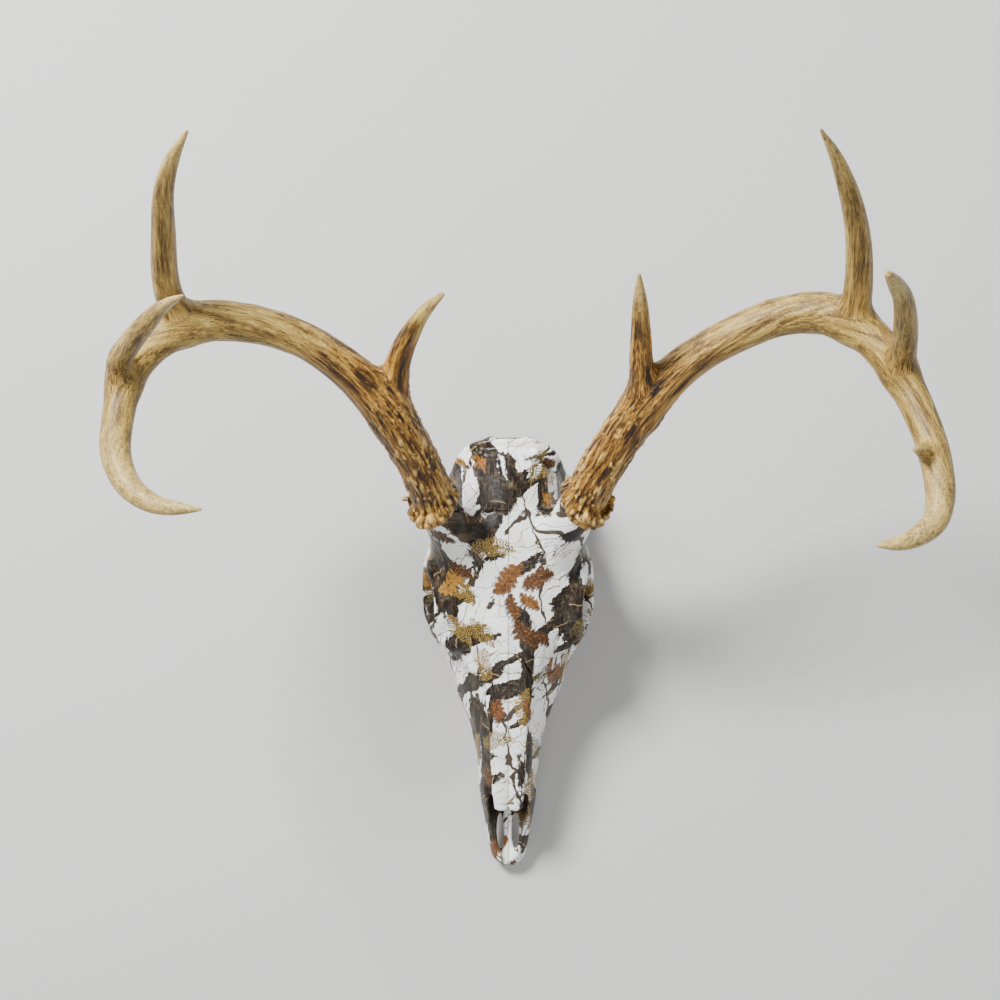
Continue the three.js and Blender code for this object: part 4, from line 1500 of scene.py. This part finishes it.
def leaf_scatter() -> Tree:
    """Leaves strewn one to a cell of a loose grid, turned at random.

    Along a leaf t runs from 0 to 1, and its half width is half the width times sin(pi t) to the
    power of three quarters, with teeth by |sin| of t. Fringe at one splits the blade into slanted
    leaflets, as on a fern.

    Returns:
        The node group.
    """
    sizes = "Film Cell Length Width Presence Teeth Fringe"
    g, take, give = new_group("leaf scatter", sizes, "Mask Vein Tint")
    per_metre = g.math("DIVIDE", 1.0, take["Cell"])
    feeds = {"Randomness": CELL_LOOSENESS, "Vector": take["Film"], "Scale": per_metre}
    cells = g.node("ShaderNodeTexVoronoi", feeds, voronoi_dimensions="2D")
    luck = g.node("ShaderNodeSeparateColor", {0: cells.outputs["Color"]})
    feeds = {
        "Vector": g.vector("SUBTRACT", take["Film"], cells.outputs["Position"]),
        "Angle": g.times(luck.outputs[0], 2 * np.pi),
    }
    place = g.split(g.node("ShaderNodeVectorRotate", feeds, rotation_type="Z_AXIS").outputs[0])
    t = g.plus(g.math("DIVIDE", place.outputs["X"], take["Length"]), 0.5)
    bend = g.times(g.math("SINE", g.times(t, 6.0)), g.times(take["Width"], 0.12))
    side = g.math("ABSOLUTE", g.plus(place.outputs["Y"], bend))
    swell = g.math("POWER", g.math("MAXIMUM", g.math("SINE", g.times(t, np.pi)), 0.0), 0.75)
    teeth = g.math("ABSOLUTE", g.math("SINE", g.times(t, LEAF_TEETH)))
    notch = g.minus(1.0, g.times(g.minus(1.0, teeth), take["Teeth"]))
    edge = g.times(g.times(take["Width"], 0.5), g.times(swell, notch))
    blade = g.band(g.minus(edge, side), 0.0, LEAF_EDGE)
    lean = g.times(g.math("DIVIDE", side, take["Width"]), LEAFLET_LEAN)
    comb = g.math("ABSOLUTE", g.minus(g.math("FRACT", g.minus(g.times(t, LEAFLETS), lean)), 0.5))
    stem = g.band(side, MIDRIB, MIDRIB_CORE)
    fringed = g.math("MAXIMUM", g.band(comb, 0.4, 0.22), stem)
    share = g.plus(g.minus(1.0, take["Fringe"]), g.times(take["Fringe"], fringed))
    there = g.math("LESS_THAN", luck.outputs[1], take["Presence"])
    g.feed(give["Mask"], g.times(blade, share, there))
    g.feed(give["Vein"], g.math("MAXIMUM", stem, g.times(g.band(comb, 0.1, 0.02), 0.6)))
    g.feed(give["Tint"], luck.outputs[2])
    return g.tree


def twig_lines() -> Tree:
    """Thin twigs: the edges between warped cells, as thick as given, shown only in places."""
    g, take, give = new_group("twig lines", "Film Cell Thickness Cover", "Mask")
    feeds = {"Scale": 70, "Detail": 2, "Vector": take["Film"]}
    warp = g.node("ShaderNodeTexNoise", feeds, noise_dimensions="2D")
    bent = g.vector("ADD", take["Film"], g.vector("MULTIPLY", warp.outputs["Color"], (0.014, 0.014, 0.0)))
    feeds = {"Vector": g.stretched(bent, (1, 0.55, 1), 0.5), "Scale": g.math("DIVIDE", 1.0, take["Cell"])}
    cells = g.node("ShaderNodeTexVoronoi", feeds, voronoi_dimensions="2D", feature="DISTANCE_TO_EDGE")
    gap = g.times(cells.outputs["Distance"], take["Cell"])
    thick = g.times(take["Thickness"], g.times(g.noise(take["Film"], 60, 1), 2.0))
    line = g.band(gap, thick, g.times(thick, 0.55))
    ends = [g.minus(whole, take["Cover"]) for whole in (0.98, 1.0)]
    g.feed(give["Mask"], g.times(line, g.band(g.noise(take["Film"], 26, 1), *ends)))
    return g.tree


BARK_LEAN = 0.28
BARK: Ramp = (
    (0.45, (0.003, 0.002, 0.002)), (0.53, (0.012, 0.008, 0.005)), (0.59, (0.045, 0.027, 0.014)),
    (0.66, (0.14, 0.095, 0.055)), (0.78, (0.4, 0.35, 0.26)),
)
LICHEN: Colour = (0.17, 0.15, 0.08)


def bark() -> Tree:
    """Old trunks: long ragged bands of split bark with pale lichen."""
    g, take, give = new_group("bark", "Film Cover", "Mask Colour")

    def drawn(squeeze: float, scale: float, detail: float, rough: float) -> Socket:
        """Noise drawn out along the leaning trunks by the squeeze of their length."""
        return g.noise(g.stretched(take["Film"], (1, squeeze, 1), BARK_LEAN), scale, detail, rough)

    level = g.plus(drawn(0.3, 36, 1.5, 0.5), g.swing(drawn(0.35, 420, 4, 0.65), 0.13))
    start = g.minus(1.0, take["Cover"])
    g.feed(give["Mask"], g.band(level, start, g.plus(start, 0.01)))
    splits = drawn(0.22, 640, 5, 0.72)
    plates = drawn(0.5, 170, 4, 0.65)
    wood = g.shades(g.plus(g.times(splits, 0.62), g.times(plates, 0.45)), BARK)
    lichen = g.band(g.noise(take["Film"], 95, 4, 0.7), 0.55, 0.68)
    g.feed(give["Colour"], g.over(lichen, wood, LICHEN, 0.45))
    return g.tree


@dataclass(frozen=True)
class Finish:
    """What every finish sets on the shader itself."""

    name: str
    coat: float = 0.0
    coat_roughness: float = 0.1
    specular: float = 0.5

    def started(self) -> tuple[bpy.types.Material, Graph, bpy.types.Node]:
        """New material with its graph and its Principled shader."""
        material = bpy.data.materials.new(self.name)
        material.use_nodes = True
        graph = Graph(material.node_tree)
        shader = material.node_tree.nodes["Principled BSDF"]
        shader.inputs["Coat Weight"].default_value = self.coat
        shader.inputs["Coat Roughness"].default_value = self.coat_roughness
        shader.inputs["Specular IOR Level"].default_value = self.specular
        return material, graph, shader

    @staticmethod
    def dressed(g: Graph, shader: bpy.types.Node, colour: Socket, roughness: Socket, height: Socket,
                depth: float) -> None:
        """Feeds the shader.

        Args:
            g: The material's graph.
            shader: Its Principled shader.
            colour: Base colour.
            roughness: Roughness.
            height: Height of the bump, from nought to one.
            depth: What a height of one stands for, in metres.
        """
        g.feed(shader.inputs["Base Color"], colour)
        g.feed(shader.inputs["Roughness"], roughness)
        bump = g.node("ShaderNodeBump", {"Distance": depth, "Height": height})
        g.feed(shader.inputs["Normal"], bump.outputs["Normal"])


@dataclass(frozen=True)
class Scatter:
    """One layer of leaves, blades or fronds of the print, in metres.

    Attributes:
        shift: Where its cells start on the film, so that no two layers line up.
        cell: Distance from one leaf to the next.
        length: Length of a leaf.
        width: Width of a leaf.
        presence: Share of the cells that hold a leaf.
        teeth: How deep its edge is notched.
        fringe: One for a leaf that is split into leaflets.
    """

    shift: tuple[float, float]
    cell: float
    length: float
    width: float
    presence: float
    teeth: float = 0.0
    fringe: float = 0.0

    def laid(self, g: Graph, leaves: Tree, film: Socket, lift: float = 0.0) -> bpy.types.Node:
        """The leaf group with this layer's sizes, moved on the film by its shift and a lift."""
        spot = g.vector("ADD", film, (self.shift[0] + lift, self.shift[1] + lift, 0.0))
        return g.group(leaves, Film=spot, Cell=self.cell, Length=self.length, Width=self.width,
                       Presence=self.presence, Teeth=self.teeth, Fringe=self.fringe)


@dataclass(frozen=True)
class PrintedBone(Finish):
    """Bleached bone under a clear-coated print of a winter wood.

    Attributes:
        middle: Where the skull's middle plane stands, in metres.
        snow: Ground of the print, by its haze.
        twigs: Lean, cell, thickness, cover and colour of each layer of twigs.
        trunks: Size, lean and cover of each layer of trunks.
        blades: Dry grass, each layer with its colour.
        fronds: Ferns.
        moss: Colours of the ferns.
        dry_moss: Colour of their dry patches.
        leaves: Oak leaves.
        rust: Colours of the oak leaves.
        shade: How far the shade of a leaf falls beside it, in metres.
        fray: How far the edges of the print stray, in metres.
    """

    name: str = "printed_bone"
    coat: float = 0.16
    coat_roughness: float = 0.08
    specular: float = 0.25
    middle: float = 0.0
    snow: Ramp = (
        (0.44, (0.96, 0.96, 0.94)), (0.59, (0.9, 0.89, 0.85)), (0.66, (0.58, 0.56, 0.48)),
        (0.76, (0.25, 0.22, 0.16)),
    )
    twigs: tuple = (
        (1.1, 0.019, 0.00035, 0.56, (0.2, 0.15, 0.09)), (0.0, 0.047, 0.0012, 0.58, (0.05, 0.036, 0.025)),
    )
    trunks: tuple = ((2.1, 1.15, 0.43), (1.0, 0.0, 0.475))
    blades: tuple = (
        (Scatter((0.31, 0.57), 0.0115, 0.024, 0.001, 0.45), (0.4, 0.3, 0.14)),
        (Scatter((0.77, 0.05), 0.0115, 0.024, 0.0009, 0.45), (0.07, 0.045, 0.022)),
    )
    fronds: Scatter = Scatter((0.41, 0.23), 0.026, 0.03, 0.014, 0.42, 0.2, 1.0)
    moss: Ramp = ((0.2, (0.07, 0.05, 0.012)), (0.8, (0.22, 0.13, 0.024)))
    dry_moss: Colour = (0.36, 0.26, 0.08)
    leaves: tuple[Scatter, ...] = (
        Scatter((0.17, 0.71), 0.03, 0.026, 0.01456, 0.37, 0.5),
        Scatter((0.63, 0.12), 0.023, 0.018, 0.01008, 0.22, 0.5),
    )
    rust: Ramp = (
        (0.1, (0.05, 0.018, 0.006)), (0.4, (0.15, 0.05, 0.009)), (0.65, (0.26, 0.098, 0.014)),
        (0.9, (0.34, 0.17, 0.03)),
    )
    shade: float = 0.0009
    fray: float = 0.0036

    def build(self, leaf: Tree, twig: Tree, trunk: Tree) -> bpy.types.Material:
        """Snow ground, then twigs, trunks, blades, fronds and leaves, each laid over the last.

        Args:
            leaf: Leaf scatter group.
            twig: Twig lines group.
            trunk: Bark group.

        Returns:
            The material.
        """
        material, g, shader = self.started()
        film = g.node("ShaderNodeUVMap", uv_map="film").outputs["UV"]
        flat = g.node("ShaderNodeTexCoord").outputs["Object"]
        stir = g.node("ShaderNodeTexNoise", {"Scale": 300, "Detail": 4, "Vector": film}).outputs["Color"]
        frayed = g.vector("ADD", film, g.vector("MULTIPLY", stir, (self.fray, self.fray, 0.0)))
        mottle = g.noise(film, 620, 5, 0.7)
        blotch = g.noise(film, 190, 4, 0.65)
        colour = g.shades(g.noise(g.stretched(film, (1, 0.35, 1), 0.5), 90, 5, 0.65), self.snow)
        for lean, cell, thick, cover, brown in self.twigs:
            turned = g.stretched(film, (1, 1, 1), lean)
            line = g.group(twig, Film=turned, Cell=cell, Thickness=thick, Cover=cover)
            colour = g.over(line.outputs["Mask"], colour, brown)
        for size, lean, cover in self.trunks:
            wood = g.group(trunk, Film=g.stretched(frayed, (size, size, 1), lean), Cover=cover)
            colour = g.over(wood.outputs["Mask"], colour, wood.outputs["Colour"])
        for layer, straw in self.blades:
            colour = g.over(layer.laid(g, leaf, frayed).outputs["Mask"], colour, straw, 0.9)
        frond = self.fronds.laid(g, leaf, frayed)
        green = g.shades(frond.outputs["Tint"], self.moss)
        moss = g.over(g.band(mottle, 0.44, 0.66), green, self.dry_moss)
        colour = g.over(frond.outputs["Mask"], colour, moss)
        for layer in self.leaves:
            shade = layer.laid(g, leaf, frayed, self.shade).outputs["Mask"]
            colour = g.over(shade, colour, (0.035, 0.02, 0.012), 0.75)
            oak = layer.laid(g, leaf, frayed)
            rust = g.shades(oak.outputs["Tint"], self.rust)
            rust = g.over(g.band(blotch, 0.52, 0.34), rust, (0.035, 0.014, 0.006))
            rust = g.over(g.band(mottle, 0.5, 0.7), rust, (0.5, 0.27, 0.06), 0.7)
            rust = g.over(oak.outputs["Vein"], rust, (0.045, 0.016, 0.008), 0.6)
            colour = g.over(oak.outputs["Mask"], colour, rust)
        seam = self.sutures(g, flat)
        colour = g.over(seam, colour, (0.1, 0.07, 0.045), 0.7)
        pores = g.noise(flat, 1500, 2)
        gloss = g.plus(g.times(pores, 0.16), 0.3)
        height = g.plus(g.times(pores, 0.25), g.noise(flat, 240, 4, 0.6))
        self.dressed(g, shader, colour, gloss, g.minus(height, seam), 0.0005)
        return material

    def sutures(self, g: Graph, flat: Socket) -> Socket:
        """Wavy lines on the middle plane and along the nasal bones' edges, on the roof alone."""
        out = g.split(flat).outputs["X"]
        wander = g.swing(g.noise(flat, 330, 4, 0.7), 0.0034)
        roof = g.split(g.node("ShaderNodeNewGeometry").outputs["Normal"]).outputs["Z"]
        across = g.math("ABSOLUTE", g.plus(g.minus(out, self.middle), wander))
        edge = g.math("ABSOLUTE", g.plus(g.times(g.mark("nasal_edge"), MM), wander))
        line = g.band(g.math("MINIMUM", across, edge), 0.00035, 0.0001)
        broken = g.band(g.noise(flat, 130, 2), 0.34, 0.44)
        return g.times(line, broken, g.band(roof, 0.25, 0.5))


@dataclass(frozen=True)
class Horn(Finish):
    """Antler: amber and pearled at the burr, tan with brown grooves along the beam, pale tips.

    Attributes:
        straw: Colours of the outer beam and the tines, from groove to ridge.
        amber: The same near the burr.
        pearl_tan: Tops of the beads.
        pit_brown: Bottoms of the pits.
        tip_tan: Worn tips.
    """

    name: str = "antler"
    coat: float = 0.08
    coat_roughness: float = 0.3
    specular: float = 0.36
    straw: Ramp = (
        (0.2, (0.03, 0.014, 0.003)), (0.38, (0.115, 0.061, 0.01)), (0.5, (0.28, 0.175, 0.036)),
        (0.62, (0.45, 0.31, 0.075)), (0.82, (0.66, 0.49, 0.15)),
    )
    amber: Ramp = (
        (0.27, (0.008, 0.003, 0.001)), (0.41, (0.062, 0.024, 0.003)), (0.52, (0.25, 0.11, 0.012)),
        (0.64, (0.45, 0.24, 0.034)), (0.84, (0.7, 0.47, 0.12)),
    )
    pearl_tan: Colour = (0.7, 0.47, 0.14)
    pit_brown: Colour = (0.03, 0.012, 0.004)
    tip_tan: Colour = (0.7, 0.53, 0.2)

    def build(self) -> bpy.types.Material:
        """Colour by the run along the beam, the grooves and the beads.

        Returns:
            The material.
        """
        material, g, shader = self.started()
        flat = g.node("ShaderNodeTexCoord").outputs["Object"]
        groove, pearl, run, tip, dark = (g.mark(n) for n in ("groove", "pearl", "run", "tip", "dark"))
        grain = g.node("ShaderNodeAttribute", attribute_name="grain").outputs["Vector"]
        grit = g.noise(flat, 520, 4, 0.7)
        streak = g.noise(grain, 0.42, 6, 0.7)
        hairline = g.noise(grain, 1.6, 3, 0.65)
        cloud = g.swing(g.noise(flat, 45, 4, 0.6), 0.3)
        upper = g.band(g.plus(run, cloud), 0.2, 0.56)
        calm = g.times(upper, 0.75)
        level = g.plus(
            0.5, g.times(groove, 0.16), g.swing(streak, g.minus(1.5, calm)), g.swing(hairline, 0.75),
            g.times(cloud, 0.8),
        )
        high = g.band(g.minus(upper, g.times(dark, 0.9)), 0.0, 1.0)
        colour = g.over(high, g.shades(level, self.amber), g.shades(level, self.straw))
        bead = g.band(g.plus(pearl, g.swing(streak, 1.8)), 0.3, 0.9)
        colour = g.over(bead, colour, self.pearl_tan, 0.8)
        pit = g.band(g.noise(grain, 0.75, 3, 0.6), 0.4, 0.3)
        colour = g.over(g.times(pit, g.minus(0.85, calm)), colour, self.pit_brown)
        colour = g.over(g.times(tip, g.band(grit, 0.3, 0.65)), colour, self.tip_tan, 0.7)
        matt = g.minus(0.52, g.plus(g.times(tip, 0.18), g.times(grit, 0.14)))
        cut = g.times(g.plus(streak, g.times(hairline, 0.5)), g.minus(1.25, upper))
        height = g.plus(cut, g.times(grit, 0.5), g.times(g.noise(flat, 1400, 2), 0.25))
        self.dressed(g, shader, colour, matt, height, 0.0011)
        return material


@dataclass(frozen=True)
class Enamel(Finish):
    """Ivory tooth enamel, stained brown in the hollows of the chewing face."""

    name: str = "enamel"
    coat: float = 0.3
    ivory: Ramp = (
        (0.2, (0.76, 0.7, 0.57)), (0.5, (0.6, 0.49, 0.33)), (0.8, (0.24, 0.15, 0.08)),
        (1.0, (0.09, 0.05, 0.03)),
    )

    def build(self) -> bpy.types.Material:
        """Colour by how deep in a hollow the surface lies.

        Returns:
            The material.
        """
        material, g, shader = self.started()
        stain = g.noise(g.node("ShaderNodeTexCoord").outputs["Object"], 350, 4, 0.6)
        level = g.plus(g.times(g.mark("hollow"), 0.75), g.times(stain, 0.35))
        gloss = g.plus(g.times(stain, 0.2), 0.24)
        self.dressed(g, shader, g.shades(level, self.ivory), gloss, stain, 0.0003)
        return material


# Studio


@dataclass(frozen=True)
class Lamp:
    """Square area lamp: its place and side in metres, and its power in watts."""

    name: str
    place: Place
    size: float
    power: float
    aim: Place = (0.0, 0.0, 0.1)

    def build(self) -> None:
        """Hangs the lamp so that it looks at its aim."""
        light = bpy.data.lights.new(self.name, "AREA")
        light.size = self.size
        light.energy = self.power
        lamp = bpy.data.objects.new(self.name, light)
        lamp.location = self.place
        x, y, z = np.subtract(self.aim, self.place)
        lamp.rotation_euler = (np.arctan2(np.hypot(x, y), -z), 0, np.arctan2(-x, y))
        bpy.context.scene.collection.objects.link(lamp)


@dataclass(frozen=True)
class Studio:
    """Plain pale floor, soft lights, and the camera straight above.

    Attributes:
        camera_out: How far out the camera stands, in millimetres of the skull's frame.
        camera_back: How far back it stands.
        camera_height: How high it stands.
        focal_ratio: Focal length as a share of the picture's width.
        sensor: Width of the sensor, in millimetres.
        farthest: How far the camera sees, in metres.
        sky: Colour of the light from all round.
        sky_strength: Its strength.
        floor_half: Half the floor's side, in metres.
        floor_grey: Colour of the floor.
        floor_roughness: Roughness of the floor.
        lamps: The lamps.
    """

    camera_out: float = -5.4
    camera_back: float = 245.7
    camera_height: float = 1600.0
    focal_ratio: float = 2.371
    sensor: float = 36.0
    farthest: float = 20.0
    sky: tuple[float, float, float, float] = (0.96, 0.97, 1, 1)
    sky_strength: float = 0.36
    floor_half: float = 4.0
    floor_grey: tuple[float, float, float, float] = (0.56, 0.56, 0.55, 1)
    floor_roughness: float = 0.9
    lamps: tuple[Lamp, ...] = (
        Lamp("key", (-0.95, 1.25, 1.6), 0.6, 130),
        Lamp("fill", (1.3, -0.2, 1.5), 1.6, 6),
        Lamp("front", (0.1, -1.5, 1.3), 1.4, 12),
    )

    def build(self, anchor: Anchor) -> None:
        """Makes the floor, the lights and the camera.

        Args:
            anchor: Where the skull's frame sits.
        """
        self.floor()
        spot = anchor.placed(np.array([self.camera_out, self.camera_back, self.camera_height]))
        lens = bpy.data.cameras.new("camera")
        lens.sensor_width = self.sensor
        lens.lens = self.sensor * self.focal_ratio
        lens.clip_end = self.farthest
        camera = bpy.data.objects.new("camera", lens)
        camera.location = spot
        bpy.context.scene.collection.objects.link(camera)
        bpy.context.scene.camera = camera
        for lamp in self.lamps:
            lamp.build()
        world = bpy.data.worlds.new("studio")
        world.use_nodes = True
        sky = world.node_tree.nodes["Background"]
        sky.inputs["Color"].default_value = self.sky
        sky.inputs["Strength"].default_value = self.sky_strength
        bpy.context.scene.world = world

    def floor(self) -> None:
        """Large flat square at the level of the teeth."""
        corner = self.floor_half
        points = [(x * corner, y * corner, 0) for x, y in ((-1, -1), (1, -1), (1, 1), (-1, 1))]
        mesh = bpy.data.meshes.new("floor")
        mesh.from_pydata(points, [], [(0, 1, 2, 3)])
        floor = bpy.data.objects.new("floor", mesh)
        bpy.context.scene.collection.objects.link(floor)
        material = bpy.data.materials.new("floor")
        material.use_nodes = True
        shader = material.node_tree.nodes["Principled BSDF"]
        shader.inputs["Base Color"].default_value = self.floor_grey
        shader.inputs["Roughness"].default_value = self.floor_roughness
        mesh.materials.append(material)


def corners(bounds: object) -> list[list[float]]:
    """Bounds as plain lists of numbers."""
    return [[float(v) for v in corner] for corner in bounds]


def main() -> None:
    """Builds the skull, the antlers, the teeth and the studio."""
    logging.basicConfig(level=logging.INFO, format="%(name)s: %(message)s")
    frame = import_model()
    LOG.info("frame: %d nodes", len(frame["nodes"]))
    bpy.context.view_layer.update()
    anchor = Anchor.from_frame()
    bone = PrintedBone(middle=float(anchor.middle)).build(leaf_scatter(), twig_lines(), bark())
    for piece in Skull(anchor).build():
        piece.data.materials.append(bone)
    enamel = Enamel().build()
    for side in Side:
        ToothRow(side).build(anchor).data.materials.append(enamel)
    horn_finish = Horn().build()
    for antler in (LEFT_ANTLER, RIGHT_ANTLER):
        antler.build(anchor).data.materials.append(horn_finish)
    Studio().build(anchor)


if __name__ == "__main__":
    main()
